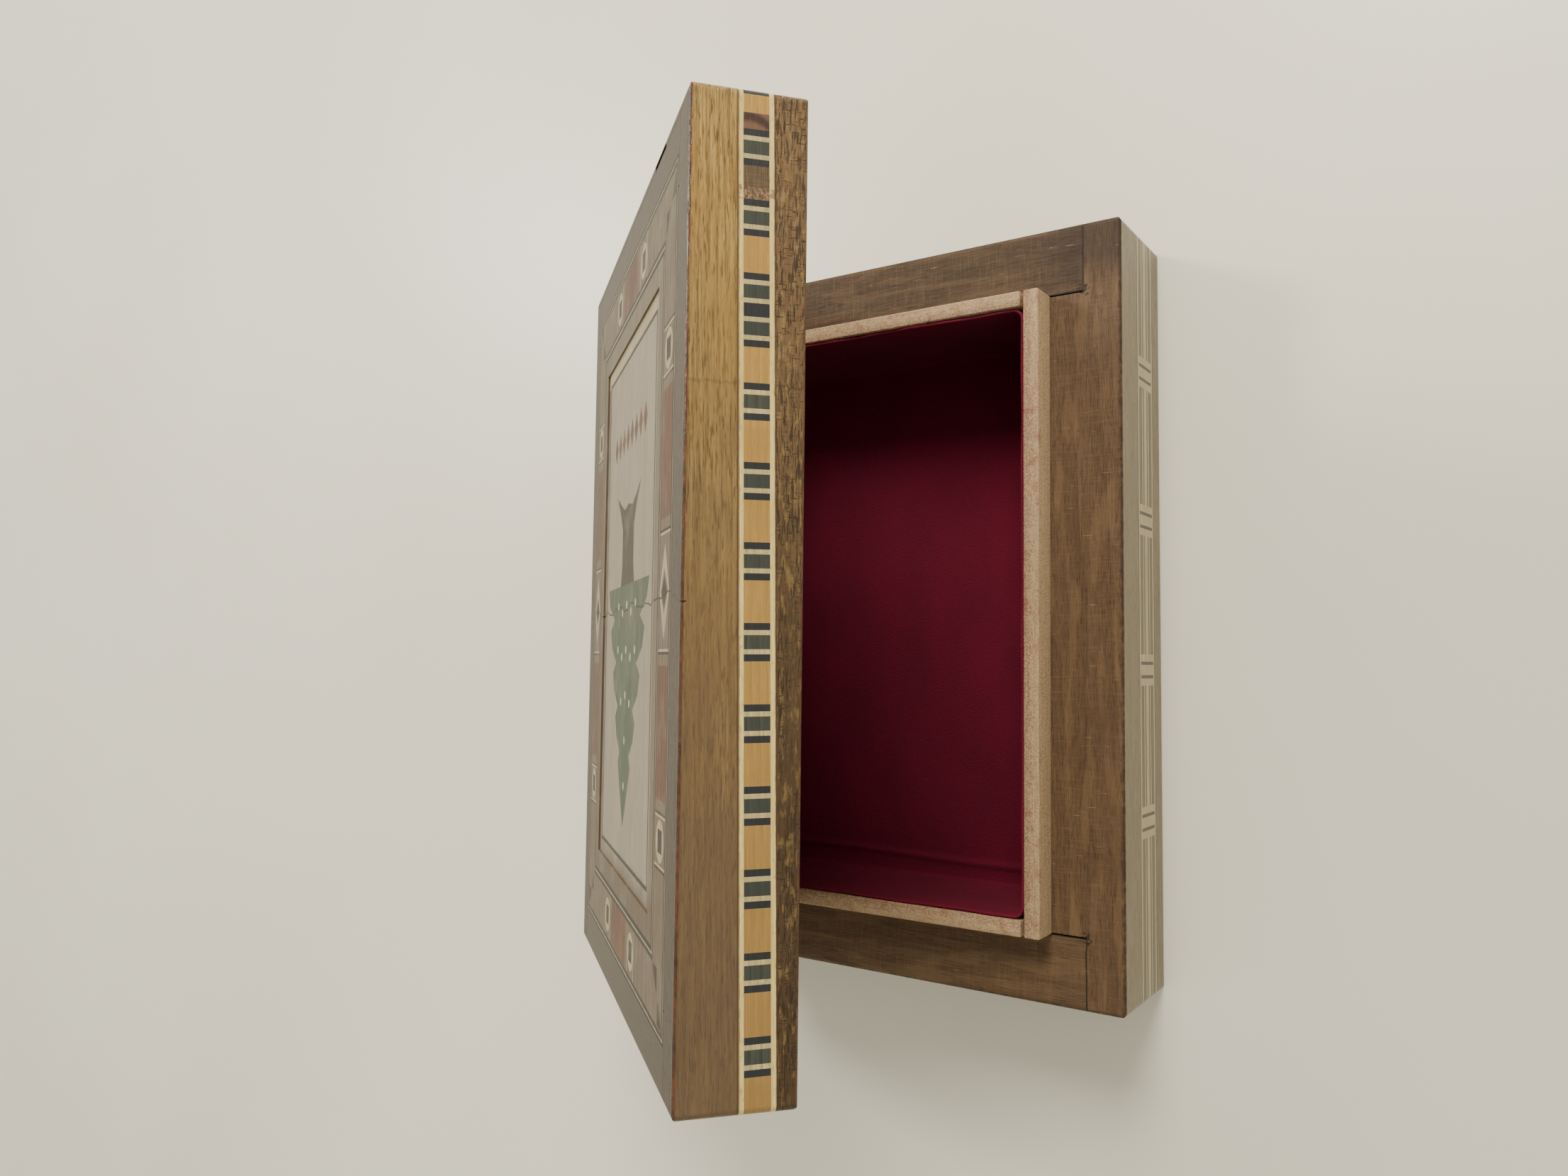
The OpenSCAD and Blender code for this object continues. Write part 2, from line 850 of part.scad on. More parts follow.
module bolt_keeper() {
    color("#b5903c") on_lid() difference() {
        block([bolt_x + slide_gap, keeper_y - keeper_w / 2, keeper_z],
            [bolt_x + slide_gap + keeper_t, keeper_y + keeper_w / 2, keeper_z + keeper_h]);
        keeper_screw_solids();
    }
}

module keeper_screws() { color("#9c8a5a") on_lid() keeper_screw_solids(); }

// ----------------------------------------------------------------- hinges

// Angle of the bevels that stop the open lid
stop_bevel = 54;
knuckle_gap = 0.2;
pin_gap = 0.05;
recess_gap = 0.3;
screw_head_r = 1.9;
screw_r = 1;
screw_x = 7;
screw_y = axis_y - leaf_w * 0.62;

// A countersunk screw with its head at the origin and its shank along +Z
module wood_screw(head_r, r, head_h, l) {
    cylinder(h = head_h, r1 = head_r, r2 = r);
    cylinder(h = l, r = r);
}

module each_hinge() {
    for (s = [-1, 1]) translate([s * hinge_x, 0, 0]) children();
}

// A round bar on the hinge axis between two lengths along it
module axis_bar(x0, x1, r) {
    translate([x0, axis_y, axis_z]) rotate([0, 90, 0]) cylinder(h = x1 - x0, r = r);
}

// The wedge between the back edges, which lets the lid lean past upright
module back_bevel() {
    depth = axis_inset + cut;
    rise = depth * tan(stop_bevel);
    translate([-hx - cut, axis_y, axis_z]) rotate([90, 0, 90])
        linear_extrude(box_l + 2 * cut) polygon([[0, 0], [depth, -rise], [depth, rise]]);
}

// Seats for both leaves of each hinge, and a trough for its knuckles
module hinge_mortises() {
    each_hinge() {
        block([-hinge_l / 2, axis_y - leaf_w, base_h - leaf_t], [hinge_l / 2, axis_y, lid_z + leaf_t]);
        axis_bar(-hinge_l / 2 - knuckle_gap, hinge_l / 2 + knuckle_gap, knuckle_r + recess_gap);
    }
}

// Half length of the middle knuckle, which belongs to the lid
mid_half = hinge_l / 6;

module base_leaves_blank() {
    each_hinge() difference() {
        union() {
            block([-hinge_l / 2, axis_y - leaf_w, base_h - leaf_t], [hinge_l / 2, axis_y, base_h]);
            axis_bar(-hinge_l / 2, hinge_l / 2, knuckle_r);
        }
        axis_bar(-mid_half, mid_half, knuckle_r + recess_gap);
        axis_bar(-hinge_l, hinge_l, pin_r);
    }
}

module lid_leaves_blank() {
    half = mid_half - knuckle_gap;
    each_hinge() difference() {
        union() {
            block([-hinge_l / 2, axis_y - leaf_w, lid_z], [hinge_l / 2, axis_y, lid_z + leaf_t]);
            axis_bar(-half, half, knuckle_r);
        }
        for (s = [-1, 1]) translate([s * hinge_l / 2, 0, 0])
            axis_bar(half - hinge_l / 2, hinge_l / 2 - half, knuckle_r + recess_gap);
        axis_bar(-hinge_l, hinge_l, pin_r + pin_gap);
    }
}

module base_screw_solids() {
    each_hinge() for (s = [-1, 1]) translate([s * screw_x, screw_y, base_h]) rotate([180, 0, 0])
        wood_screw(screw_head_r, screw_r, leaf_t * 0.9, screw_l);
}

module lid_screw_solids() {
    each_hinge() for (s = [-1, 1]) translate([s * screw_x, screw_y, lid_z])
        wood_screw(screw_head_r, screw_r, leaf_t * 0.9, screw_l);
}

module hinge_leaves_base() {
    color("#b08f45") difference() {
        base_leaves_blank();
        base_screw_solids();
    }
}

module hinge_leaves_lid() {
    color("#b08f45") on_lid() difference() {
        lid_leaves_blank();
        lid_screw_solids();
    }
}

module hinge_pins() { color("#8f7b45") each_hinge() axis_bar(-hinge_l / 2, hinge_l / 2, pin_r); }

module hinge_screws_base() { color("#9c8a5a") base_screw_solids(); }

module hinge_screws_lid() { color("#9c8a5a") on_lid() lid_screw_solids(); }

// ------------------------------------------------------------------ nodes

base_front();
base_back();
base_left();
base_right();
base_bottom();
liner_front();
liner_back();
liner_left();
liner_right();
velvet_floor();
velvet_walls();
base_stringing();
base_band_ground();
base_band_pale();
base_band_dark();
lid_front();
lid_back();
lid_left();
lid_right();
lid_top_board();
lid_lining();
outer_line_dark();
outer_line_pale();
band_ground();
band_redwood();
band_dark();
band_pale();
inner_line_pale();
inner_line_dark();
top_margin();
picture_ground();
picture_edging();
tree_canopy();
tree_dots();
tree_trunk();
picture_lozenges();
front_band_lines();
front_band_dark();
front_band_cream();
front_band_green();
front_band_orange();
front_band_brown();
end_panel();
bolt_bar();
bolt_tongue();
bolt_pin();
bolt_keeper();
keeper_screws();
hinge_leaves_base();
hinge_leaves_lid();
hinge_pins();
hinge_screws_base();
hinge_screws_lid();
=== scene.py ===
# %% [markdown]
# # A wooden puzzle box
# This lesson dresses a box that a CAD program has already cut. The boards, the inlay and
# the brass arrive finished, at their real size, so the work here is what the eye reads as
# wood, varnish and velvet. The soft and worn pieces are modelled again in this script.

# %% Load the joinery
import json
import math

import bmesh
import bpy
import numpy as np
from mathutils import Matrix, Vector


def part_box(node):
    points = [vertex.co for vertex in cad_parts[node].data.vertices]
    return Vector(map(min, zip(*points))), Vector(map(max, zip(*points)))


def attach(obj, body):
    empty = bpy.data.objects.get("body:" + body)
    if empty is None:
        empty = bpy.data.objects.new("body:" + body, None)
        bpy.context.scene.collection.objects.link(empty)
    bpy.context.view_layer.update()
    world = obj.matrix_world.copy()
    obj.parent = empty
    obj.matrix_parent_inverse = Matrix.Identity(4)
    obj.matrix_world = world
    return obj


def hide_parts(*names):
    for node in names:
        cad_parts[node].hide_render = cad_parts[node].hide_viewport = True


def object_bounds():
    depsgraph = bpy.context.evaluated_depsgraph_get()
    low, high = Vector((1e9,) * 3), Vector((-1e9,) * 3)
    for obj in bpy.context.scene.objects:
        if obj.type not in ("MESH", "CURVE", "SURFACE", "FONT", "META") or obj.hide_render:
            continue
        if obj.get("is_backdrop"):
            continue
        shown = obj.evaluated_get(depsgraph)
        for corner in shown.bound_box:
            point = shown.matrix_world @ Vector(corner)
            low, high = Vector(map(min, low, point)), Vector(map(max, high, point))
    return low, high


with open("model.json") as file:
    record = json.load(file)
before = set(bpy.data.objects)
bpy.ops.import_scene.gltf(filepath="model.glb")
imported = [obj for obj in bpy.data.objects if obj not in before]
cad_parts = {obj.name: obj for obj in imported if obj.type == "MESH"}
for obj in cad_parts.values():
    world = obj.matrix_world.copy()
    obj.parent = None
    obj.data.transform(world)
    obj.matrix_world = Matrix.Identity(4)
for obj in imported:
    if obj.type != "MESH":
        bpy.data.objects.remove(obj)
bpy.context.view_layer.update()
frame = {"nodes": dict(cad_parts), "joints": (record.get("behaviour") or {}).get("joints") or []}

# %% [markdown]
# Every pattern has to know where it is on the box. The lid stands open, so its grain is
# drawn as if the lid were shut and then turned with it. The hinge gives both the line that
# it turns about and how far it stands open, because its lower limit is the shut lid.

# %% Read the hinge
MM = 0.001
hinge = next(j for j in frame["joints"] if j["name"] == "lid_hinge")
LID_OPEN = -math.radians(hinge["range_deg"][0])
HINGE_LINE = Vector(hinge["pos_m"]) / MM
turn_shut = Matrix.Rotation(LID_OPEN, 3, "X")
LID_SHIFT = HINGE_LINE - turn_shut @ HINGE_LINE


def shut_box(node):
    """Lowest and highest corner of a node of the lid, in mm, with the lid shut."""
    spots = [turn_shut @ (v.co / MM) + LID_SHIFT for v in frame["nodes"][node].data.vertices]
    return [Vector([pick(s[i] for s in spots) for i in range(3)]) for pick in (min, max)]


HALF_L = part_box("base_right")[1].x / MM
HALF_W = -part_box("base_front")[0].y / MM
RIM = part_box("base_right")[1].z / MM
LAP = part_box("base_right")[1].y / MM
WALL_X = -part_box("liner_front")[0].x / MM
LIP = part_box("liner_front")[1].z / MM
LID_LOW, LID_TOP = [corner.z for corner in shut_box("lid_front")]
print(f"lid open by {math.degrees(LID_OPEN):.1f} degrees, shut it runs from "
      f"{LID_LOW:.1f} to {LID_TOP:.1f} mm; the rim is at {RIM:.1f}, the lip at {LIP:.1f}")

# %% [markdown]
# ## Tools for finishes
# A finish is a small network of nodes. One function adds a node with its settings and its
# links, and the others each do one job of a finisher: find the place, grain the wood,
# stain it, rub its edges, varnish it. Colours are written as the sRGB hex values that a
# colour picker gives, and are turned to linear light once.


# %% Add a node, and read a colour
def add(home, kind, links=(), **settings):
    """Adds a node to the tree that home is, or is a socket of. links maps an input's name or
    number to a value or to an output."""
    tree = home.id_data
    node = tree.nodes.new("ShaderNode" + kind)
    for name, value in settings.items():
        setattr(node, name, value)
    for name, value in dict(links).items():
        if isinstance(value, bpy.types.NodeSocket):
            tree.links.new(value, node.inputs[name])
        else:
            node.inputs[name].default_value = value
    return node


def colour(text):
    """An sRGB hex colour in linear light."""
    parts = [int(text[i:i + 2], 16) / 255 for i in (1, 3, 5)]
    return [p / 12.92 if p <= 0.04045 else ((p + 0.055) / 1.055) ** 2.4 for p in parts] + [1]


print("cream veneer in linear light:", [round(c, 3) for c in colour("#e6dcb0")])


# %% Find the place on the box, in mm
def open_finish(name, on_lid=False):
    """A new material, and the place of each point on the shut box in mm."""
    finish = bpy.data.materials.new(name)
    finish.use_nodes = True
    tree = finish.node_tree
    tree.nodes.clear()
    where = add(tree, "TexCoord").outputs["Object"]
    place = add(tree, "Mapping", {
        "Vector": where, "Scale": (1 / MM,) * 3,
        "Rotation": (LID_OPEN if on_lid else 0, 0, 0),
        "Location": LID_SHIFT if on_lid else (0, 0, 0)})
    return finish, place.outputs[0]


def patches(place, size, low, high, stretch=(1, 1, 1), turn=(0, 0, 0), seed=0, detail=3):
    """Soft blotches about size mm across, from 0 to 1. stretch above 1 draws them out."""
    spot = add(place, "Mapping", {
        "Vector": place, "Scale": [1 / (size * s) for s in stretch],
        "Rotation": turn, "Location": (seed * 7.3, seed * 3.1, seed * 5.7)})
    noise = add(place, "TexNoise", {"Vector": spot.outputs[0], "Scale": 1, "Detail": detail})
    ramp = add(place, "MapRange", {"Value": noise.outputs[0], "From Min": low, "From Max": high})
    return ramp.outputs[0]


def stain(wood, tint, where, strength=1.0):
    """Works a tint into the wood where a mask is white."""
    share = add(where, "Math", {0: where, 1: strength}, operation="MULTIPLY", use_clamp=True)
    tint = colour(tint) if isinstance(tint, str) else tint
    mix = add(where, "Mix", {0: share.outputs[0], 6: wood, 7: tint}, data_type="RGBA")
    return mix.outputs[2]


def both(one, other, way="MULTIPLY"):
    """Two masks or heights combined, by multiplying unless way says otherwise."""
    home = one if isinstance(one, bpy.types.NodeSocket) else other
    return add(home, "Math", {0: one, 1: other}, operation=way).outputs[0]


# %% [markdown]
# Lines, joints and worn edges sit at known places, so their masks are worked out from the
# distance to a plane. Nothing on old woodwork is dead straight, so each distance gets a
# little noise before it is cut to a line.


# %% Mark lines and worn edges
def within(value, middle, half, soft=0.05):
    """1 where value lies within half mm of middle, fading over soft mm."""
    away = both(both(value, middle, "SUBTRACT"), 0.0, "ABSOLUTE")
    ramp = add(value, "MapRange", {"Value": away, "From Min": half, "From Max": half + soft,
                                   "To Min": 1.0, "To Max": 0.0})
    return ramp.outputs[0]


def beyond(value, edge, soft=0.1):
    """1 where value is more than edge, fading in over soft mm."""
    return add(value, "MapRange", {"Value": value, "From Min": edge,
                                   "From Max": edge + soft}).outputs[0]


def axes(place):
    """The three parts of a place, and the same without their signs."""
    x, y, z = add(place, "SeparateXYZ", {0: place}).outputs
    return x, y, z, both(x, 0.0, "ABSOLUTE"), both(y, 0.0, "ABSOLUTE")


def edge_distance(place, low, high):
    """Distance to the nearest outer edge of the base or the lid: the middle one of the
    distances to its end, its side and its top or underside."""
    z, end, side = axes(place)[2:]
    to_end = both(HALF_L, end, "SUBTRACT")
    to_side = both(HALF_W, side, "SUBTRACT")
    to_face = both(both(z, low, "SUBTRACT"), both(high, z, "SUBTRACT"), "MINIMUM")
    inner = both(both(to_end, to_side, "MAXIMUM"), to_face, "MINIMUM")
    return both(both(to_end, to_side, "MINIMUM"), inner, "MAXIMUM")


def inset(place):
    """How far in a place lies from the nearest end or side of the box."""
    end, side = axes(place)[3:]
    return both(both(HALF_L, end, "SUBTRACT"), both(HALF_W, side, "SUBTRACT"), "MINIMUM")


# %% [markdown]
# ## Wood grain
# Walnut shows three things at once: growth rings as broad soft figure, fibres as fine
# streaks, and pores as short dark dashes along the grain. A wave texture in rings round a
# far-off heart gives the figure, and two noises drawn out along the board give the rest.
# Real pores are 0.1 to 0.2 mm wide; they are drawn 0.3 mm wide so that they show.


# %% Grain a board
def grain(place, pale, dark, pore, across=False, ring=4.0, heart=(30, -70), tilt=0.02,
          wander=3.0, fibre=0.45, pore_share=0.6, figure=0.7, seed=0):
    """Colour and height of a board whose grain runs along X, or along Y if across."""
    turn = (0, tilt, math.pi / 2 if across else 0)
    along = add(place, "Mapping", {"Vector": place, "Rotation": turn,
                                   "Location": (seed * 41.0, 0, 0)}).outputs[0]
    slow = add(place, "Mapping", {"Vector": along, "Scale": (0.22, 1, 1),
                                  "Location": (0, heart[0], heart[1])}).outputs[0]
    rings = add(place, "TexWave", {
        "Vector": slow, "Scale": 0.314 / ring, "Distortion": wander, "Detail": 2.0,
        "Detail Scale": 0.25 * ring, "Detail Roughness": 0.45},
        wave_type="RINGS", rings_direction="X", wave_profile="SAW").outputs[1]
    fibres = patches(along, fibre, 0.36, 0.64, stretch=(30, 1, 1), seed=seed + 1, detail=4)
    broad = patches(along, 9.0, 0.3, 0.7, stretch=(3, 1, 1), seed=seed + 2)
    pores = patches(along, 0.3, 0.57, 0.68, stretch=(12, 1, 1), seed=seed + 3, detail=1)
    spread = both(both(rings, figure), both(fibres, 1 - figure), "ADD")
    wood = stain(colour(pale), dark, spread)
    wood = stain(wood, dark, broad, 0.35)
    wood = stain(wood, pore, pores, pore_share)
    height = both(both(fibres, 0.4), pores, "SUBTRACT")
    return wood, height, fibres


# %% Lay a finish on
COAT_ROUGH, SHEEN_ROUGH = 0.12, 0.35


def close_finish(finish, wood, height, rough, depth=0.1, strength=0.5, coat=0.0,
                 sheen=0.0, sheen_tint="#ffffff", metal=0.0, shine=0.5):
    """Shader and output. depth is the height of the relief in mm, shine is how strongly the
    wood itself mirrors, and coat how much clear varnish lies over it."""
    tree = finish.node_tree
    bump = add(tree, "Bump", {"Height": height, "Strength": strength, "Distance": depth * MM})
    shader = add(tree, "BsdfPrincipled", {
        "Base Color": wood, "Roughness": rough, "Normal": bump.outputs[0], "Metallic": metal,
        "Specular IOR Level": shine, "Coat Weight": coat, "Coat Roughness": COAT_ROUGH,
        "Sheen Weight": sheen, "Sheen Roughness": SHEEN_ROUGH,
        "Sheen Tint": colour(sheen_tint)})
    add(tree, "OutputMaterial", {"Surface": shader.outputs[0]})
    return finish


def dress(finish, *nodes):
    """Puts a finish on CAD nodes, whose own meshes stay as they are."""
    for node in nodes:
        mesh = frame["nodes"][node].data
        mesh.materials.clear()
        mesh.materials.append(finish)
    print(f"{finish.name}: {len(finish.node_tree.nodes)} nodes on {', '.join(nodes)}")


# %% [markdown]
# ## The base boards
# The base is solid walnut. Its rim was planed and left bare, so it is matt, and fine saw
# marks still cross the boards. Outside it was stained paler and varnished. Both
# finishes are on the same boards, so one material holds both and changes over at the
# rounded edge. The end boards have their grain along the box's depth, and the right one was
# cut from darker wood.


# %% Walnut, bare on the rim and varnished outside
EASED = 0.75
TONGUE_HALF = 6.0


def base_walnut(name, across, seed, ring, heart, tilt, deep=False):
    """One board of the base. deep is for the darker board."""
    finish, place = open_finish(name)
    x, y, z, end, side = axes(place)
    pale, dark = ("#4b3824", "#3a2a1a") if deep else ("#654e36", "#4d3824")
    wood, height, fibres = grain(place, pale, dark, "#261a12", across=across,
                                 ring=ring, heart=heart, tilt=tilt, wander=4.5, fibre=0.4,
                                 pore_share=0.4, figure=0.45, seed=seed)
    way = (1, 7, 1) if across else (7, 1, 1)
    flame = patches(place, 3.2, 0.52, 0.60, stretch=way, seed=seed + 4, detail=1)
    wood = stain(wood, "#634c35" if deep else "#7c6244", flame, 0.28)
    saw = patches(place, 0.5, 0.50, 0.72, stretch=(14, 1, 1) if across else (1, 14, 1),
                  seed=seed + 5)
    wood = stain(wood, "#77603f", saw, 0.25)
    shade = patches(place, 20, 0.45, 0.66, seed=seed + 6)
    wood = stain(wood, "#3a291a", shade, 0.22)
    # the front right corner has gone dark
    corner = both(beyond(x, HALF_L - 19.0, 9.0), within(y, -HALF_W, 14.0, 9.0))
    wood = stain(wood, "#2a1c12", corner, 0.68)
    # varnished sides: a greyer, paler stain, with the grain showing less
    top = beyond(z, RIM - EASED, 0.3)
    sides = both(1.0, top, "SUBTRACT")
    outside = both(sides, within(inset(place), 0.0, 1.0, 0.2))
    wood = stain(wood, "#776b4f", outside, 0.72)
    # dark seams above and below the inlay, on the front only
    face = both(outside, within(y, -HALF_W, 0.5, 0.2))
    for band_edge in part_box("base_stringing"):
        seam = both(face, within(z, band_edge.z / MM, 0.4, 0.15))
        wood = stain(wood, "#33291d", seam, 0.85)
    # joints of the corners, cut as thin dark lines that wander a little
    wobble = both(patches(place, 2.5, 0.2, 0.8, seed=3), 0.25)
    lap = within(both(side, wobble, "ADD"), LAP + 0.12, 0.13, 0.12)
    lap = both(lap, beyond(end, WALL_X - 0.6))
    shoulder = within(both(end, wobble, "ADD"), WALL_X + 0.1, 0.2, 0.15)
    shoulder = both(shoulder, within(side, LAP + 0.5 - TONGUE_HALF, TONGUE_HALF, 0.6))
    joint = both(lap, shoulder, "MAXIMUM")
    pits = both(within(end, WALL_X, 1.3, 0.8), within(side, LAP, 1.1, 0.8))
    pits = both(pits, patches(place, 0.8, 0.5, 0.58, seed=8))
    joint = both(joint, pits, "MAXIMUM")
    wood = stain(wood, "#1c130d", joint, 0.9)
    # a few scratches over the rim, painted pale as the sheen they catch, and small dark knocks
    scratch_sheen = patches(place, 0.3, 0.70, 0.78, stretch=(1, 22, 1), turn=(0, 0, 0.2), seed=12)
    wood = stain(wood, "#b49a7e", both(scratch_sheen, top), 0.6)
    knocks = patches(place, 1.1, 0.68, 0.74, stretch=(2.5, 1, 1), seed=14)
    wood = stain(wood, "#3a281c", knocks, 0.5)
    # worn edges: dark and reddish where hands have rubbed them
    frayed = both(edge_distance(place, 0.0, RIM),
                  both(patches(place, 1.6, 0.2, 0.8, seed=9), 1.1), "ADD")
    worn = add(place, "MapRange", {"Value": frayed, "From Min": 0.75, "From Max": 1.5,
                                   "To Min": 1.0, "To Max": 0.0}).outputs[0]
    wood = stain(wood, "#2f1d17", worn, 0.85)
    height = both(height, both(joint, 2.5), "SUBTRACT")
    height = both(height, both(worn, patches(place, 0.9, 0.3, 0.7, seed=10)), "SUBTRACT")
    rough = add(place, "MapRange", {"Value": outside, "To Min": 0.62, "To Max": 0.27}).outputs[0]
    rough = both(rough, both(fibres, 0.12), "ADD")
    return close_finish(finish, wood, height, rough, depth=0.12, shine=0.35)


dress(base_walnut("planed_walnut_flat_sawn", False, 1, 6.5, (52, -46), 0.055), "base_front")
dress(base_walnut("planed_walnut_back_board", False, 5, 5.0, (-40, -60), 0.03), "base_back")
dress(base_walnut("planed_walnut_left_end_board", True, 13, 3.6, (30, -80), 0.02), "base_left")
dress(base_walnut("planed_walnut_right_end_board", True, 9, 3.6, (18, -80), 0.015, True),
      "base_right")

# %% [markdown]
# The bottom board is a cheap straight-grained softwood that nobody was meant to look at.
# It is left raw: plain grain, some grime, no varnish.

# %% Raw bottom board
finish, place = open_finish("raw_pine_bottom_board")
wood, height, _ = grain(place, "#b3946a", "#80613f", "#4a3623", ring=3.0,
                        heart=(5, -300), wander=1.5, figure=0.55, pore_share=0.3, seed=21)
grime = patches(place, 14, 0.45, 0.75, seed=22)
wood = stain(wood, "#5d4a37", grime, 0.5)
dress(close_finish(finish, wood, height, 0.75, depth=0.15), "base_bottom")

# %% [markdown]
# ## The tray's lining
# Four strips of sanded beech stand proud of the rim, so that the lid drops over them. As
# cut, their edges are dead sharp. A copy of each strip is merged, its edges are eased with
# a bevel and its faces are left flat, which is what a few strokes of sandpaper do.


# %% Ease the edges of a strip
def only(piece):
    """Selects one piece and nothing else."""
    bpy.ops.object.select_all(action="DESELECT")
    bpy.context.view_layer.objects.active = piece
    piece.select_set(True)


def apply_all(piece):
    """Applies every modifier of a piece, from the first to the last."""
    only(piece)
    for name in [m.name for m in piece.modifiers]:
        bpy.ops.object.modifier_apply(modifier=name)


def eased_copy(node, name, ease):
    """A merged copy of a CAD node with its sharp edges rounded by ease mm."""
    piece = bpy.data.objects.new(name, frame["nodes"][node].data.copy())
    bpy.context.scene.collection.objects.link(piece)
    only(piece)
    bpy.ops.object.mode_set(mode="EDIT")
    bpy.ops.mesh.select_all(action="SELECT")
    bpy.ops.mesh.remove_doubles(threshold=0.01 * MM)
    bpy.ops.mesh.dissolve_limited(angle_limit=math.radians(1))
    bpy.ops.object.mode_set(mode="OBJECT")
    bevel = piece.modifiers.new("eased edges", "BEVEL")
    bevel.width, bevel.segments = ease * MM, 3
    bevel.limit_method, bevel.angle_limit = "ANGLE", math.radians(40)
    apply_all(piece)
    bpy.ops.object.shade_smooth_by_angle(angle=math.radians(35))
    return piece


def finish_piece(piece, finish, slot, body, *nodes):
    """Gives a new piece its finish, its body and the CAD nodes it stands for."""
    piece.data.materials.clear()
    piece.data.materials.append(finish)
    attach(piece, body)
    if nodes:
        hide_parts(*nodes)
    triangles = sum(len(p.vertices) - 2 for p in piece.data.polygons)
    print(f"{piece.name}: {triangles} triangles on {body}")


# %% [markdown]
# Beech is pale, close and nearly without figure. Bare and a little furry from sanding, it
# has picked up crimson smudges and specks of flock where the velvet was glued against it.

# %% Sanded beech
TRAY_X, TRAY_Y = [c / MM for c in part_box("velvet_walls")[1].xy]


def beech(name, across, seed):
    """Beech for the strips along the box, or for those across it."""
    finish, place = open_finish(name)
    z, end, side = axes(place)[2:]
    wood, height, _ = grain(place, "#ad926f", "#8a704f", "#6b523f", across=across,
                            ring=2.2, heart=(8, -120), wander=2.0, fibre=0.35,
                            pore_share=0.25, figure=0.35, seed=seed)
    fur = patches(place, 0.5, 0.35, 0.7, seed=seed + 4)
    wood = stain(wood, "#c9af8c", fur, 0.5)
    lip = beyond(z, LIP - 3.0, 2.5)
    smudge = both(patches(place, 4.5, 0.56, 0.72, seed=seed + 5), lip)
    wood = stain(wood, "#7d4032", smudge, 0.5)
    lint = both(patches(place, 0.7, 0.62, 0.7, seed=seed + 6), lip)
    wood = stain(wood, "#6a1a26", lint, 0.45)
    # flock strays up to 3 mm from the cloth, by a ragged line
    reach = both(patches(place, 1.8, 0.3, 0.7, seed=seed + 7), 2.2)
    shore = both(within(both(end, reach, "SUBTRACT"), TRAY_X - 0.4, 1.0, 0.5),
                 within(both(side, reach, "SUBTRACT"), TRAY_Y - 0.4, 1.0, 0.5),
                 "MAXIMUM")
    flock = both(shore, patches(place, 0.45, 0.42, 0.58, seed=seed + 8))
    wood = stain(wood, "#5e1624", both(flock, lip), 0.42)
    # the joint at the foot of each strip, widened with painted shade in the corner where it meets
    # the rim
    foot = within(z, RIM, 0.25, 0.5)
    wood = stain(wood, "#3b2a1e", foot, 0.7)
    height = both(both(height, 0.3), fur, "ADD")
    return close_finish(finish, wood, height, 0.8, depth=0.12, strength=0.6)


beech_long = beech("sanded_beech_long_strips", False, 31)
beech_short = beech("sanded_beech_short_strips", True, 37)
for side_name, finish in (("front", beech_long), ("back", beech_long),
                          ("left", beech_short), ("right", beech_short)):
    strip = eased_copy(f"liner_{side_name}", f"lining_strip_{side_name}", 0.45)
    finish_piece(strip, finish, "liner_beech", "base", f"liner_{side_name}")

# %% [markdown]
# ## Velvet
# The tray is lined with one sheet of thin velvet, cut as a cross and glued to the floor
# and up the walls. Cloth turns a corner in a small curve, never a sharp one, and this one
# was pushed into place by hand, so a crease runs along its left end. It starts as a box
# without a lid, its corners and its foot are bevelled, and it is sliced finely enough for
# the crease and the slight waves to be pressed into it.


# %% Slice a piece with flat cuts
def slice_piece(piece, axis, places):
    """Cuts the faces of a piece with planes across an axis, so that it can be shaped."""
    only(piece)
    bpy.ops.object.mode_set(mode="EDIT")
    for spot in places:
        bpy.ops.mesh.select_all(action="SELECT")
        bpy.ops.mesh.bisect(plane_co=[spot * MM if i == axis else 0 for i in range(3)],
                            plane_no=[float(i == axis) for i in range(3)])
    bpy.ops.object.mode_set(mode="OBJECT")


def pick(piece, kind, chosen):
    """Opens a piece for editing, with the edges or faces for which chosen is true selected."""
    only(piece)
    bpy.ops.object.mode_set(mode="EDIT")
    bpy.ops.mesh.select_mode(type=kind)
    bpy.ops.mesh.select_all(action="DESELECT")
    shape = bmesh.from_edit_mesh(piece.data)
    for part in (shape.edges if kind == "EDGE" else shape.faces):
        part.select_set(chosen(part))
    bmesh.update_edit_mesh(piece.data)


def bevel_edges(piece, chosen, width, segments):
    """Rounds the edges for which chosen(start height, end height), in mm, is true."""
    pick(piece, "EDGE", lambda edge: chosen(*[v.co.z / MM for v in edge.verts]))
    bpy.ops.mesh.bevel(offset=width * MM, segments=segments, affect="EDGES")
    bpy.ops.object.mode_set(mode="OBJECT")


# %% The sheet in the tray
NAP = 0.8
WALL_BEND, FOOT_BEND = 2.6, 1.1
SLICE, FINE_SLICE = 4.0, 0.7
floor_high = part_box("velvet_floor")[1] / MM
tray_x, tray_y, tray_z = floor_high.x - NAP, floor_high.y - NAP, floor_high.z
tray_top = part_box("velvet_walls")[1].z / MM
bpy.ops.object.select_all(action="DESELECT")
bpy.ops.mesh.primitive_cube_add(
    size=1, location=(0, 0, (tray_z + tray_top) / 2 * MM),
    scale=(2 * tray_x * MM, 2 * tray_y * MM, (tray_top - tray_z) * MM))
bpy.ops.object.transform_apply(location=True, rotation=True, scale=True)
velvet = bpy.context.object
velvet.name = "tray_velvet"
pick(velvet, "FACE", lambda face: face.normal.z > 0.9)
bpy.ops.mesh.delete(type="FACE")
bpy.ops.object.mode_set(mode="OBJECT")
bevel_edges(velvet, lambda a, b: abs(a - b) > 10, WALL_BEND, 5)
bevel_edges(velvet, lambda a, b: max(a, b) < tray_z + 0.01, FOOT_BEND, 3)
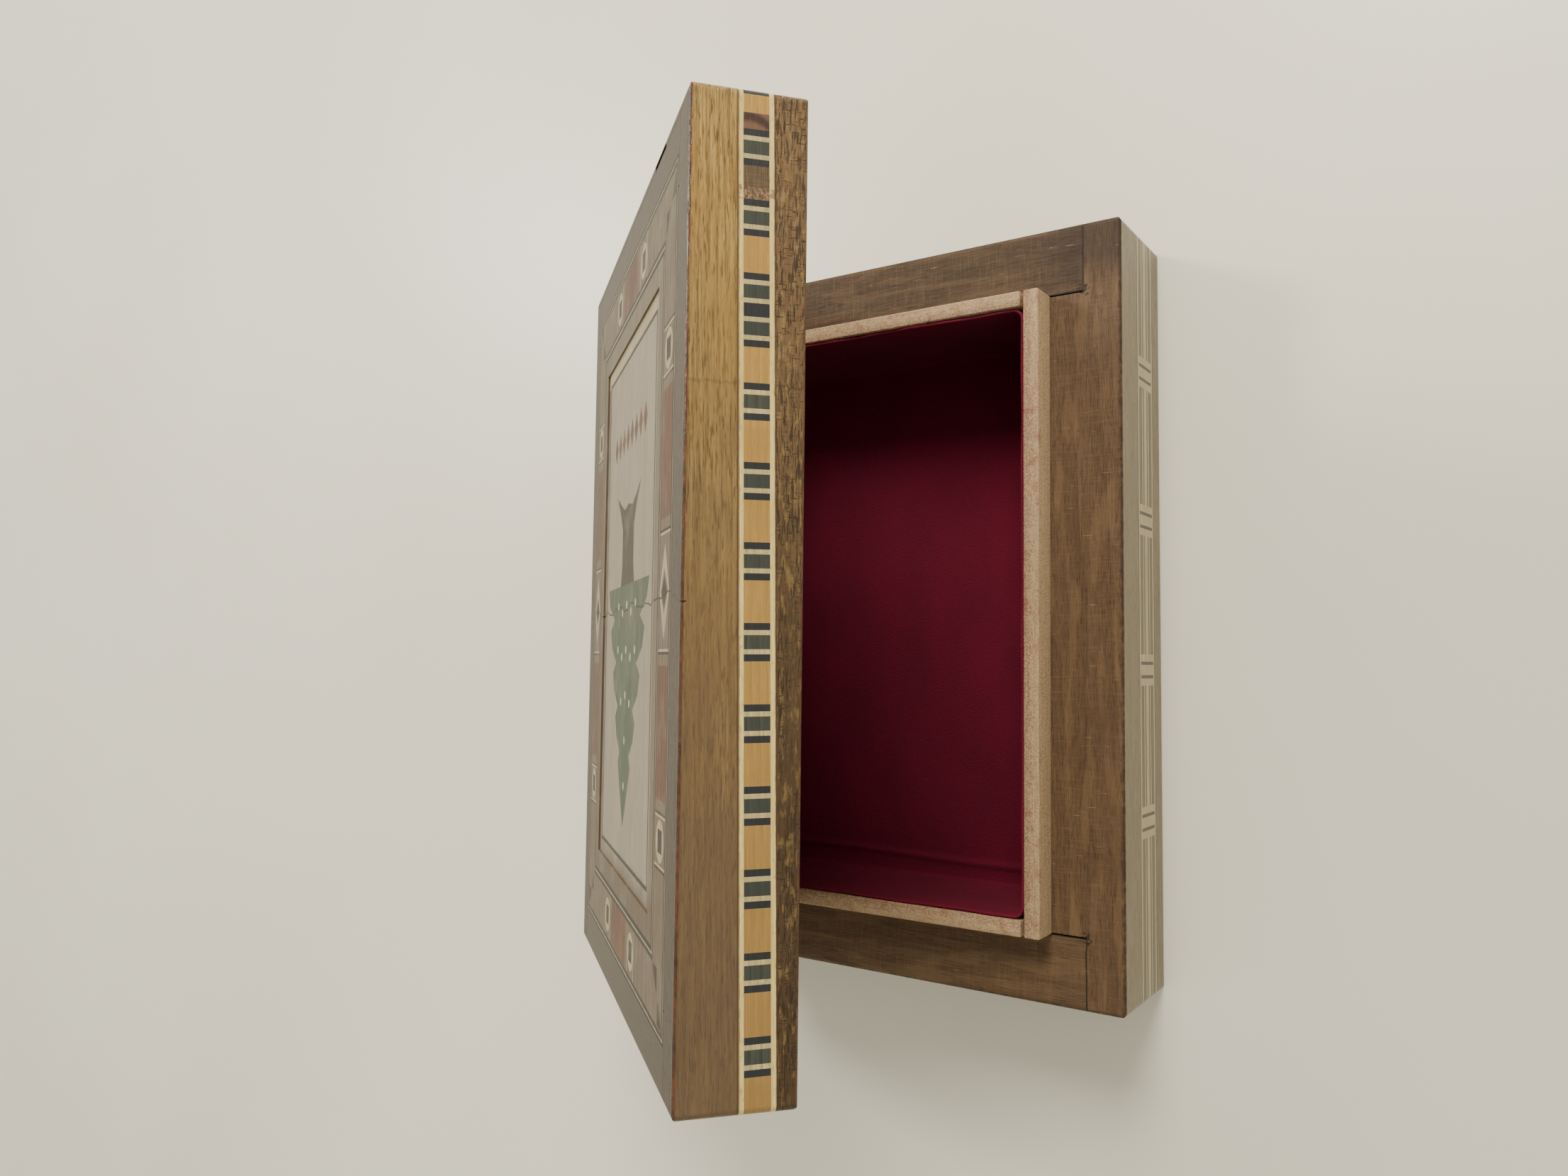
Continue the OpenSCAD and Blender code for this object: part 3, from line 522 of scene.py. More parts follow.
CREASE = -tray_x + 6.0
slice_piece(velvet, 0, [*np.arange(-tray_x + 14, tray_x - 3, SLICE),
                        *np.arange(CREASE - 2.8, CREASE + 2.9, FINE_SLICE)])
slice_piece(velvet, 1, np.arange(-tray_y + 3, tray_y - 2, SLICE))
slice_piece(velvet, 2, np.arange(tray_z + 3, tray_top - 0.6, SLICE))

# %% [markdown]
# The waves are a sum of a few slow sines, because glued velvet only ever lifts a fraction
# of a millimetre. The crease is a low ridge with a gutter beside it. The top edge of the
# sheet wanders up and down, as cloth cut with scissors does.

# %% Press in the waves and the crease
WAVE, RIDGE, GUTTER, STAND_OFF = 0.16, 0.55, 0.30, 0.15
for v in velvet.data.vertices:
    x, y, z = v.co / MM
    wave = WAVE * math.sin(x * 0.11 + 1.3 * math.sin(y * 0.07)) * math.sin(y * 0.13 + 0.4)
    if z < tray_z + 0.4:
        off = x - CREASE - 0.5 * math.sin(y * 0.06)
        ridge = (RIDGE * math.exp(-(off / 0.9) ** 2)
                 - GUTTER * math.exp(-((off - 2.2) / 1.1) ** 2))
        v.co.z += (max(wave, 0.0) + max(ridge, -0.1)) * MM
    elif abs(x) > tray_x - 0.5:
        v.co.x -= math.copysign((STAND_OFF + wave) * MM, x)
    elif abs(y) > tray_y - 0.5:
        v.co.y -= math.copysign((STAND_OFF + wave) * MM, y)
    if z > tray_top - 0.3:
        v.co.z -= (0.35 + 0.3 * math.sin(0.21 * x + 0.17 * y) * math.sin(0.05 * x - 0.33 * y)) * MM
only(velvet)
bpy.ops.object.mode_set(mode="EDIT")
bpy.ops.mesh.select_all(action="SELECT")
bpy.ops.mesh.remove_doubles(threshold=0.02 * MM)
bpy.ops.mesh.normals_make_consistent(inside=True)
bpy.ops.object.mode_set(mode="OBJECT")
thick = velvet.modifiers.new("cloth thickness", "SOLIDIFY")
thick.thickness, thick.offset = 0.7 * MM, -1
round_over = velvet.modifiers.new("rolled edge", "BEVEL")
round_over.width, round_over.segments = 0.22 * MM, 2
round_over.limit_method, round_over.angle_limit = "ANGLE", math.radians(60)
apply_all(velvet)
bpy.ops.object.shade_smooth_by_angle(angle=math.radians(60))
print("tray velvet, mm:", [round(d / MM, 1) for d in velvet.dimensions])

# %% [markdown]
# Velvet is dark where you look down into the pile and bright where the pile leans away, so
# it gets sheen over a very rough base. The pile is about 0.5 mm deep; brushed patches and a
# fine mottle come from two noises. The edge of the cloth shows its brighter red roots.


# %% Crimson velvet
def velvet_finish(name, on_lid, seed):
    """Crimson velvet, for the tray or for the lid."""
    finish, place = open_finish(name, on_lid)
    z = axes(place)[2]
    pile = patches(place, 0.55, 0.3, 0.7, seed=seed)
    brushed = patches(place, 16, 0.35, 0.7, stretch=(1.6, 1, 1), seed=seed + 1)
    cloth = stain(colour("#5d0524"), "#420318", pile, 0.6)
    cloth = stain(cloth, "#6c0829", brushed, 0.35)
    roots = pile if on_lid else beyond(z, LIP - 1.6, 1.0)
    cloth = stain(cloth, "#8c1838", both(roots, pile), 0.1 if on_lid else 0.35)
    lint = patches(place, 0.35, 0.75, 0.79, seed=seed + 3)
    cloth = stain(cloth, "#a06a6c", lint, 0.35)
    return close_finish(finish, cloth, pile, 0.95, depth=0.25, sheen=0.12,
                        sheen_tint="#b8385a", shine=0.3)


finish_piece(velvet, velvet_finish("crimson_velvet_tray", False, 43), "velvet", "base",
             "velvet_floor", "velvet_walls")

# %% [markdown]
# The same cloth lines the inside of the lid. It is a flat sheet glued overhead, so it is a
# grid with its corners cut round, a few soft waves and the thickness of the nap.

# %% The sheet in the lid
MARGIN, ROUNDED = 0.3, 3 * MM
lining_low, lining_high = shut_box("lid_lining")
bpy.ops.object.select_all(action="DESELECT")
bpy.ops.mesh.primitive_grid_add(
    x_subdivisions=44, y_subdivisions=30, size=1,
    location=(0, 0, (lining_low.z + 0.05) * MM))
lid_cloth = bpy.context.object
lid_cloth.name = "lid_velvet"
corner = Vector((lining_high.x - MARGIN, lining_high.y - MARGIN)) * MM
lid_cloth.scale = (2 * corner.x, 2 * corner.y, 1)
bpy.ops.object.transform_apply(location=True, rotation=True, scale=True)
for v in lid_cloth.data.vertices:
    x, y = v.co.x / MM, v.co.y / MM
    wave = 0.15 + 0.15 * math.sin(x * 0.09 + math.sin(y * 0.08)) * math.sin(y * 0.11)
    v.co.z += wave * MM
    reach = Vector((abs(v.co.x), abs(v.co.y))) - corner + Vector((ROUNDED, ROUNDED))
    if min(reach) > 0 and reach.length > ROUNDED:
        pull = reach.normalized() * ROUNDED
        v.co.x = math.copysign(corner.x - ROUNDED + pull.x, v.co.x)
        v.co.y = math.copysign(corner.y - ROUNDED + pull.y, v.co.y)
thick = lid_cloth.modifiers.new("cloth thickness", "SOLIDIFY")
thick.thickness, thick.offset = 0.45 * MM, 1
apply_all(lid_cloth)
open_lid = (Matrix.Translation(HINGE_LINE * MM) @ Matrix.Rotation(-LID_OPEN, 4, "X")
            @ Matrix.Translation(-HINGE_LINE * MM))
lid_cloth.data.transform(open_lid)
bpy.ops.object.shade_smooth_by_angle(angle=math.radians(60))
finish_piece(lid_cloth, velvet_finish("crimson_velvet_lid", True, 47), "velvet", "lid",
             "lid_lining")

# %% [markdown]
# ## Inlay round the base
# The band across the base's front is a bought strip of stringing: holly lines, a grey
# ground and black bars, sanded flush and waxed. Each wood is a thin slice, so it shows
# little figure. A veneer finish is the same grain with a small figure, a satin surface and
# some grime. Short blocks may each get a shade of their own, and old varnish a slow ripple.


# %% A veneer finish
BLOCK = 8.25


def veneer(name, pale, dark, on_lid=False, seed=0, coat=0.0, rough=0.4, ring=2.0, figure=0.3,
           tint_each=0.0, shine=0.5, ripple=0.0, extra=None):
    """A thin slice of wood. tint_each shades every BLOCK mm of the length by chance, ripple
    is for thick varnish, and extra(place, wood) gives further stains, painted shade among
    them, and their dents."""
    finish, place = open_finish(name, on_lid)
    wood, height, _ = grain(place, pale, dark, dark, ring=ring, heart=(3, -150),
                            wander=2.5, fibre=0.3, pore_share=0.4, figure=figure, seed=seed)
    grime = patches(place, 6.0, 0.45, 0.75, seed=seed + 6)
    wood = stain(wood, dark, grime, 0.3)
    if tint_each:
        piece = both(both(axes(place)[0], BLOCK, "DIVIDE"), 0.0, "FLOOR")
        chance = add(place, "TexWhiteNoise", {"W": piece}, noise_dimensions="1D").outputs[0]
        wood = stain(wood, dark, chance, tint_each)
    if extra:
        wood, dent = extra(place, wood)
        height = both(height, both(dent, 2.0), "SUBTRACT")
    if ripple:
        flow = patches(place, 4.0, 0.2, 0.8, stretch=(2, 1, 1), seed=7)
        height = both(height, both(flow, 3.0 * ripple), "ADD")
    return close_finish(finish, wood, height, rough, depth=0.05, strength=0.4,
                        coat=coat, shine=shine)


dress(veneer("holly_inlay_waxed", "#c2b48f", "#938563", seed=51),
      "base_stringing", "base_band_pale")
dress(veneer("grey_dyed_veneer_waxed", "#776e54", "#574f38", seed=53, figure=0.45),
      "base_band_ground")
dress(veneer("bog_oak_bars_waxed", "#46443a", "#2b2a25", seed=55), "base_band_dark")

# %% [markdown]
# ## The lid's boards
# The lid is the same walnut under an old varnish that has lost its gloss. On the front, the
# board above the band has bleached to honey, and painted shade darkens it towards the left
# end, away from the light. The strip below it is darker, dried out and full of short cracks,
# because it is handled whenever the box is opened, and it too gets painted shade towards the
# left end. The band slopes a little, so the line between the two woods slopes with it. One
# crack runs right across the top.

# %% Marks that all woods of the lid share
BAND_DROP, BAND_TILT, BAND_HALF = 15.7, math.tan(math.radians(0.87)), 4.0
BAND_MIDDLE = LID_TOP - BAND_DROP
CRACK_X = -5.7
SPLIT_X = HALF_L - 62.5


def level(place):
    """Height on the lid's front, following the slope of the band."""
    x, _, z = axes(place)[:3]
    return both(z, both(x, BAND_TILT), "SUBTRACT")


def old_crack(place):
    """The crack across the top. The two noises carry it towards the right by 4 mm or so."""
    x, _, z = axes(place)[:3]
    drift = both(patches(place, 14, 0.0, 1.0, stretch=(9, 1, 9), seed=61), 7.0)
    fine = both(patches(place, 1.6, 0.0, 1.0, stretch=(9, 1, 9), seed=62), 1.4)
    line = both(x, both(drift, fine, "ADD"), "SUBTRACT")
    crack = within(line, CRACK_X, 0.14, 0.14)
    top = beyond(z, LID_TOP - 1.2, 0.4)
    return both(crack, top)


def rubbed_edge(place, wood):
    """Reddish wear along the lid's outer edges, in broken lengths, and its mask."""
    rub = edge_distance(place, LID_LOW, LID_TOP)
    fray = both(patches(place, 2.2, 0.25, 0.75, seed=63), 1.3)
    ragged = both(rub, fray, "ADD")
    worn = add(place, "MapRange", {"Value": ragged, "From Min": 0.45, "From Max": 1.5,
                                   "To Min": 1.0, "To Max": 0.0}).outputs[0]
    wood = stain(wood, "#69402a", worn, 0.8)
    deep = both(worn, patches(place, 3.0, 0.5, 0.6, stretch=(3, 1, 1), seed=64))
    return stain(wood, "#3a2419", deep, 0.45), worn


# %% Varnished walnut for the lid
def lid_walnut(name, across, seed, honey):
    """One board of the lid's frame. honey is for the front one, with its bleached wood and its
    painted shade towards the left end.
    """
    finish, place = open_finish(name, True)
    x, y, z, end, side = axes(place)
    wood, height, fibres = grain(place, "#8a6f4b", "#5c462e", "#2d2116", across=across,
                                 ring=2.6, heart=(14, -90), wander=3.0, fibre=0.4,
                                 pore_share=0.65, figure=0.4, seed=seed)
    cut = level(place)
    front = beyond(both(y, -1.0), HALF_W - 0.9, 0.3)
    upper = both(beyond(cut, BAND_MIDDLE, 0.3), front)
    lower = both(front, upper, "SUBTRACT")
    if honey:
        gold = grain(place, "#bb9a58", "#755a2e", "#3f2b12", ring=1.7, heart=(9, -140),
                     wander=4.0, fibre=0.42, pore_share=0.7, figure=0.3, seed=seed + 30)[0]
        mellow = patches(place, 11, 0.4, 0.7, stretch=(2.5, 1, 1), seed=seed + 31)
        gold = stain(gold, "#a5803c", mellow, 0.45)
        ripple = patches(place, 2.4, 0.5, 0.68, stretch=(1, 2, 2), seed=seed + 32)
        gold = stain(gold, "#8a6a3c", ripple, 0.22)
        dashes = patches(place, 0.36, 0.58, 0.66, stretch=(13, 1, 1), seed=seed + 34)
        gold = stain(gold, "#3c2a14", dashes, 0.5)
        # painted shade: the honey board and the strip below it darken towards the left end, away
        # from the light
        shade = patches(place, 16, 0.2, 0.8, stretch=(2, 1, 1), seed=seed + 33)
        reach = both(x, both(shade, 60.0), "SUBTRACT")
        painted_shade_left = add(place, "MapRange", {"Value": reach, "From Min": HALF_L - 50,
                                      "From Max": -HALF_L + 30}).outputs[0]
        gold = stain(gold, "#55463a", painted_shade_left, 0.8)
        wood = stain(wood, gold, upper)
        wood = stain(wood, "#1c140d", both(painted_shade_left, lower), 0.75)
    # cracks of the dried strip, along the grain and across it
    along = patches(place, 0.34, 0.54, 0.60, stretch=(9, 1, 1), seed=seed + 7, detail=3)
    field = patches(place, 7.0, 0.25, 0.5, stretch=(2.5, 1, 1), seed=seed + 8)
    over = patches(place, 0.30, 0.60, 0.66, stretch=(1, 6, 6), seed=seed + 9, detail=3)
    pale = patches(place, 0.9, 0.52, 0.68, stretch=(3.5, 1, 1), seed=seed + 10)
    wood = stain(wood, "#a98d58", both(pale, lower), 0.5)
    wood = stain(wood, "#6b5233", lower, 0.3)
    checks = both(both(along, over, "MAXIMUM"), field)
    checks = both(checks, lower)
    # more painted shade on the strip below the band, towards the left end
    if honey:
        wood = stain(wood, "#2a1e13", both(painted_shade_left, lower), 0.25)
    split = within(both(x, both(fibres, 0.8), "ADD"), SPLIT_X, 0.1, 0.4)
    split = both(split, both(both(front, 0.3), both(lower, 0.3), "ADD"))
    wood = stain(wood, "#2f2216", split, 0.9)
    wood = stain(wood, "#2f2216", checks, 0.85)
    # a dark seam where the strip meets the band's pale lines
    seam = both(within(cut, BAND_MIDDLE, BAND_HALF + 0.1, 0.25), front)
    wood = stain(wood, "#4a3520", seam, 0.8)
    # the border on top: browner, with dark spots along its front edge
    top = beyond(z, LID_TOP - 0.7, 0.3)
    wood = stain(wood, "#2a211b", top, 0.88)
    spots = patches(place, 2.6, 0.52, 0.62, stretch=(1.8, 1, 1), seed=seed + 11)
    near = within(both(y, HALF_W, "ADD"), 0.0, 2.2, 1.5)
    wood = stain(wood, "#1f1712", both(both(spots, near), top), 0.85)
    wood, worn = rubbed_edge(place, wood)
    # joints of the corners, as on the base, and the old crack
    wobble = both(patches(place, 2.5, 0.2, 0.8, seed=5), 0.3)
    lap = within(both(side, wobble, "ADD"), LAP + 0.15, 0.13, 0.12)
    lap = both(lap, beyond(end, WALL_X))
    crack = both(old_crack(place), lap, "MAXIMUM")
    wood = stain(wood, "#17110d", crack, 0.9)
    gouges = both(checks, crack, "ADD")
    height = both(height, both(gouges, 2.5), "SUBTRACT")
    height = both(height, both(worn, patches(place, 1.3, 0.3, 0.7, seed=66)), "SUBTRACT")
    # hands have polished the edges of the front and the top, which catch the light
    rough = add(place, "MapRange", {"Value": lower, "To Min": 0.44, "To Max": 0.55}).outputs[0]
    handled = both(1.0, both(both(1.0, front, "SUBTRACT"), both(1.0, top, "SUBTRACT")), "SUBTRACT")
    near_edge = within(edge_distance(place, LID_LOW, LID_TOP), 0.0, 0.8, 0.4)
    polish = both(near_edge, handled)
    rough = both(rough, both(polish, 0.19), "SUBTRACT")
    return close_finish(finish, wood, height, rough, depth=0.12, strength=0.55, shine=0.28)


dress(lid_walnut("varnished_walnut_honey_front", False, 71, True), "lid_front")
dress(lid_walnut("varnished_walnut_back_board", False, 75, False), "lid_back")
dress(lid_walnut("varnished_walnut_end_boards", True, 79, False),
      "lid_left", "lid_right", "end_panel")
dress(veneer("plain_lid_board", "#a58c63", "#7c6646", on_lid=True, seed=83, rough=0.7,
             figure=0.5, ring=3.0), "lid_top_board")

# %% [markdown]
# ## The band across the lid's front
# It is cut from a glued-up stick of maple, olive wood and dyed veneers. The pale lines are
# maple, the honey blocks olive, the stripes dyed black, blue-black and grey-green. No two
# blocks are quite the same, so each gets its own shade. Near the right end two blocks were
# mended with dark walnut, and an arc of old stain crosses the outer one.


# %% Marks on the mended blocks and the lines
INNER_MEND, OUTER_MEND, ARC_X = HALF_L - 23.2, HALF_L - 12.0, HALF_L - 6.3
CHIPPED_X = HALF_L - 22.5


def mended(place, wood):
    """End grain, a redder outer block with its arc of stain, and chips in the inner one."""
    x, _, z = axes(place)[:3]
    fuzz = patches(place, 0.5, 0.3, 0.7, stretch=(1, 1, 5), seed=92)
    wood = stain(wood, "#2f2216", fuzz, 0.55)
    outer = beyond(x, OUTER_MEND, 0.2)
    wood = stain(wood, "#6e4a36", outer, 0.75)
    bow = both(z, BAND_MIDDLE + 3.0, "SUBTRACT")
    arc = both(x, both(both(bow, bow), 0.09), "ADD")
    wood = stain(wood, "#2e1512", within(arc, ARC_X, 0.5, 1.0), 0.9)
    chip = patches(place, 0.5, 0.42, 0.62, stretch=(1.6, 1, 1), seed=91)
    inner = both(within(x, INNER_MEND, 1.6, 0.5), chip)
    wood = stain(wood, "#a9805a", inner, 0.6)
    return wood, inner


def scuffed(place, wood):
    """Fine dirt and knocks on the pale lines, and a dark joint along each of them."""
    ragged = both(level(place), both(patches(place, 2.0, 0.2, 0.8, seed=95), 0.25), "ADD")
    for edge in (BAND_MIDDLE + BAND_HALF, BAND_MIDDLE - BAND_HALF + 0.1):
        wood = stain(wood, "#3a2a18", within(ragged, edge, 0.14, 0.12), 0.7)
    dirt = patches(place, 0.8, 0.6, 0.68, stretch=(2, 1, 1), seed=93)
    chipped = both(within(axes(place)[0], CHIPPED_X, 1.3, 0.5),
                   patches(place, 1.0, 0.46, 0.55, seed=94))
    marks = both(both(dirt, 0.5), chipped, "MAXIMUM")
    return stain(wood, "#7a5c45", marks, 0.8), marks


def shade_towards_left(place, wood):
    """Painted shade, browner towards the left end, away from the light."""
    shade = add(place, "MapRange", {"Value": axes(place)[0], "From Min": HALF_L - 60,
                                    "From Max": -HALF_L}).outputs[0]
    return stain(wood, "#6e5836", shade, 0.42), shade


# %% Dress the band
band = {"on_lid": True, "coat": 0.15, "rough": 0.45}
dress(veneer("maple_lines_varnished", "#f0da92", "#c8ad66", seed=101, extra=scuffed, **band),
      "front_band_lines")
dress(veneer("dyed_black_stripes", "#23282b", "#13161a", seed=103, tint_each=0.5, **band),
      "front_band_dark")
dress(veneer("maple_stripes_varnished", "#dac993", "#a3925f", seed=105, tint_each=0.5,
             extra=scuffed, **band), "front_band_cream")
dress(veneer("grey_green_dyed_blocks", "#474d3e", "#262b26", seed=107, tint_each=0.7,
             figure=0.5, **band), "front_band_green")
# the olive blocks get painted shade towards the left end
dress(veneer("olive_wood_blocks", "#c49a4c", "#9a7533", seed=109, tint_each=0.35,
             figure=0.45, ring=1.4, extra=shade_towards_left, **band), "front_band_orange")
dress(veneer("walnut_mends", "#7a6240", "#4c3a26", seed=111, figure=0.15, extra=mended, **band),
      "front_band_brown")

# %% [markdown]
# ## Marquetry on the lid
# The top is thin veneer pieces under a thick, rippled old varnish, which throws back the
# pale room when it is seen from low down. Each wood is named by its part in the design. The
# knife lines between pieces have filled with dirt, and the picture's far edges are darker.


# %% Marks on the marquetry
INSETS = [HALF_L - shut_box(node)[1].x for node in
          ("outer_line_dark", "band_ground", "inner_line_pale", "top_margin", "picture_ground")]
print("knife lines lie this far in from the edge, mm:", [round(i, 1) for i in INSETS])


def cracked(place, wood):
    """Knife lines round every frame, bloom in the varnish, and the old crack."""
    wander = both(patches(place, 3, 0.2, 0.8, seed=112), 0.3)
    ragged = both(inset(place), wander, "ADD")
    dark = old_crack(place)
    for line in INSETS:
        dark = both(dark, within(ragged, line + 0.1, 0.42, 0.25), "MAXIMUM")
    bloom = patches(place, 9, 0.5, 0.75, seed=113)
    wood = stain(wood, "#8f8270", bloom, 0.25)
    return stain(wood, "#15100c", dark, 0.92), dark


PICTURE = shut_box("picture_ground")


def darker_far_edges(place, wood):
    """Darker along the picture's back and left edges, over the marks of all pieces."""
    x, y = axes(place)[:2]
    uneven = both(patches(place, 5, 0.2, 0.8, seed=115), 5.0)
    back = beyond(both(y, uneven, "ADD"), PICTURE[1].y - 5.0, 6.0)
    left = beyond(both(uneven, x, "SUBTRACT"), -PICTURE[0].x - 4.0, 5.0)
    wood = stain(wood, "#4a3a2c", both(back, left, "MAXIMUM"), 0.6)
    return cracked(place, wood)


# %% Dress the marquetry
gloss = {"on_lid": True, "rough": 0.44, "shine": 0.12, "ripple": 1.0, "extra": cracked}
shaded = {**gloss, "extra": darker_far_edges}
dress(veneer("black_lines_gloss", "#2a2019", "#15100d", seed=121, **gloss),
      "outer_line_dark", "inner_line_dark")
dress(veneer("cream_lines_gloss", "#b0a283", "#8c7e60", seed=123, **gloss),
      "outer_line_pale", "inner_line_pale", "band_pale", "picture_edging")
dress(veneer("tan_band_veneer_gloss", "#71624e", "#4f4233", seed=125, figure=0.5, **gloss),
      "band_ground")
dress(veneer("red_brown_veneer_gloss", "#6a4431", "#432819", seed=127, figure=0.6, **gloss),
      "band_redwood", "picture_lozenges")
dress(veneer("dark_motif_veneer_gloss", "#382a21", "#1d1510", seed=129, **gloss), "band_dark")
dress(veneer("plain_margin_veneer_gloss", "#786a57", "#594c3d", seed=131, figure=0.4, **shaded),
      "top_margin")
dress(veneer("pale_picture_veneer_gloss", "#9b9180", "#7c7262", seed=133, ring=5, **shaded),
      "picture_ground")
dress(veneer("green_dyed_tree_gloss", "#4e5b46", "#303b2e", seed=135, figure=0.5, **gloss),
      "tree_canopy")
dress(veneer("pale_dots_gloss", "#b6bba0", "#8f957c", seed=137, **{**gloss, "extra": None}),
      "tree_dots")
dress(veneer("brown_trunk_gloss", "#3f352c", "#27201a", seed=139, figure=0.6, **gloss),
      "tree_trunk")

# %% [markdown]
# ## Brass and boxwood
# The hinges, screws and bolt tongue are sheet brass that has never been polished since, so
# the colour is dull gold with brown tarnish in patches, and fine rolling scratches along
# the leaves. The bolt bar is planed boxwood, yellow and close, rubbed shiny by sliding.


# %% Tarnished brass
def brass(name, on_lid, seed):
    """Sheet or rod brass, smooth where it is bright and rougher under the tarnish."""
    finish, place = open_finish(name, on_lid)
    tarnish = patches(place, 2.2, 0.42, 0.66, seed=seed)
    rolled = patches(place, 0.12, 0.3, 0.7, stretch=(30, 1, 1), seed=seed + 1)
    metal = stain(colour("#c9a45a"), "#7d5a2c", tarnish, 0.75)
    metal = stain(metal, "#e2c684", rolled, 0.25)
    rough = add(place, "MapRange", {"Value": tarnish, "To Min": 0.28, "To Max": 0.6}).outputs[0]
    return close_finish(finish, metal, rolled, rough, depth=0.02, metal=1.0)


dress(brass("rolled_brass_base_leaves", False, 141), "hinge_leaves_base", "hinge_pins")
dress(brass("rolled_brass_lid_leaves", True, 143), "hinge_leaves_lid", "bolt_keeper",
      "bolt_tongue", "bolt_pin")
dress(veneer("planed_boxwood", "#c9a368", "#a17c45", on_lid=True, seed=145, rough=0.45,
             figure=0.5, ring=1.5), "bolt_bar")

# %% [markdown]
# ## Screws
# A brass wood screw has a countersunk head with a slot. One is modelled: a cylinder gives
# the shank, its last ring is pulled to a point, and its top ring is spread into the head.
# A thin block cuts the slot. Copies then go where the CAD screws are, each turned to a
# slot angle of its own, because nobody lines up screw slots.


# %% Model one screw
def slotted_screw(head_r, shank_r, head_h, length):
    """A screw pointing down Z with the top of its head at the origin, in metres."""
    bpy.ops.object.select_all(action="DESELECT")
    bpy.ops.mesh.primitive_cylinder_add(vertices=28, radius=shank_r * MM,
                                        depth=length * MM, location=(0, 0, -length / 2 * MM))
    bpy.ops.object.transform_apply(location=True, rotation=True, scale=True)
    screw = bpy.context.object
    slice_piece(screw, 2, [-head_h, -length + 2.4 * shank_r])
    bpy.ops.object.mode_set(mode="EDIT")
    bpy.ops.mesh.select_mode(type="VERT")
    for ring_z, share in ((0.0, head_r / shank_r), (-length, 0.2)):
        bpy.ops.mesh.select_all(action="DESELECT")
        shape = bmesh.from_edit_mesh(screw.data)
        for v in shape.verts:
            v.select_set(abs(v.co.z / MM - ring_z) < 0.01)
        shape.select_flush(True)
        bmesh.update_edit_mesh(screw.data)
        bpy.ops.transform.resize(value=(share, share, 1), center_override=(0, 0, 0))
    bpy.ops.object.mode_set(mode="OBJECT")
    slot_size = Vector((2.4 * head_r, 0.32 * head_r, 0.9 * head_h)) * MM
    bpy.ops.mesh.primitive_cube_add(size=1, location=(0, 0, 0), scale=slot_size)
    cutter = bpy.context.object
    slot = screw.modifiers.new("slot", "BOOLEAN")
    slot.object, slot.operation = cutter, "DIFFERENCE"
    edge = screw.modifiers.new("soft edge", "BEVEL")
    edge.width, edge.segments, edge.angle_limit = 0.06 * MM, 2, math.radians(40)
    apply_all(screw)
    bpy.data.objects.remove(cutter)
    bpy.ops.object.shade_smooth_by_angle(angle=math.radians(35))
    return screw


def screw_places(node, parts):
    """The points of each screw in a node. parts tells which screw a point, in mm, is in."""
    groups = {}
    for v in frame["nodes"][node].data.vertices:
        groups.setdefault(parts(v.co / MM), []).append(v.co.copy())
    return [groups[key] for key in sorted(groups)]


# %% Put the screws in
HEAD_R, SCREWS_TO_MIDDLE = 1.9, 7.0
hinge_screw = {"head_r": HEAD_R, "shank_r": 1.0, "head_h": 0.9, "length": 8.0}
keeper_screw = {"head_r": 1.5, "shank_r": 0.8, "head_h": 0.8, "length": 6.0}
out_of_lid = Matrix.Rotation(-LID_OPEN, 3, "X") @ Vector((0, 0, -1))
sets = (("hinge_screws_base", "base", Vector((0, 0, 1)), hinge_screw),
        ("hinge_screws_lid", "lid", out_of_lid, hinge_screw),
        ("keeper_screws", "lid", Vector((1, 0, 0)), keeper_screw))
brass_for = {"base": brass("cut_brass_screws_base", False, 151),
             "lid": brass("cut_brass_screws_lid", True, 153)}
for node, body, out_of, size in sets:
    model = slotted_screw(**size)
    low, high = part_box(node)
    if node == "keeper_screws":
        half = (low.y + high.y) / 2 / MM
        groups = screw_places(node, lambda p: p.y > half)
    else:
        reach = max(abs(low.x), abs(high.x)) / MM
        middle = reach - HEAD_R - SCREWS_TO_MIDDLE
        groups = screw_places(node, lambda p: (p.x > 0, abs(p.x) > middle))
    for number, points in enumerate(groups):
        along = [p.dot(out_of) for p in points]
        top = [p for p, a in zip(points, along) if a > max(along) - 0.01 * MM]
        centre = sum(top, Vector()) / len(top)
        turn = Vector((0, 0, 1)).rotation_difference(out_of).to_matrix().to_4x4()
        spin = Matrix.Rotation(0.6 + 1.9 * number, 4, "Z")
        screw = bpy.data.objects.new(f"{node}_{number + 1}", model.data.copy())
        bpy.context.scene.collection.objects.link(screw)
        screw.data.transform(Matrix.Translation(centre) @ turn @ spin)
        finish_piece(screw, brass_for[body], "screw_brass", body)
    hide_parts(node)
    bpy.data.objects.remove(model)

# %% [markdown]
# ## Table, light and camera
# The box stands on a plain pale table. Two soft lamps stand beyond its right end: a broad
# one a little to the front, low enough to leave that end of the tray in shade, and a smaller
# one far behind. The rest is even room light. The camera looks down past the raised edge of
# the lid. It is turned a quarter, so the box's length runs up the picture.

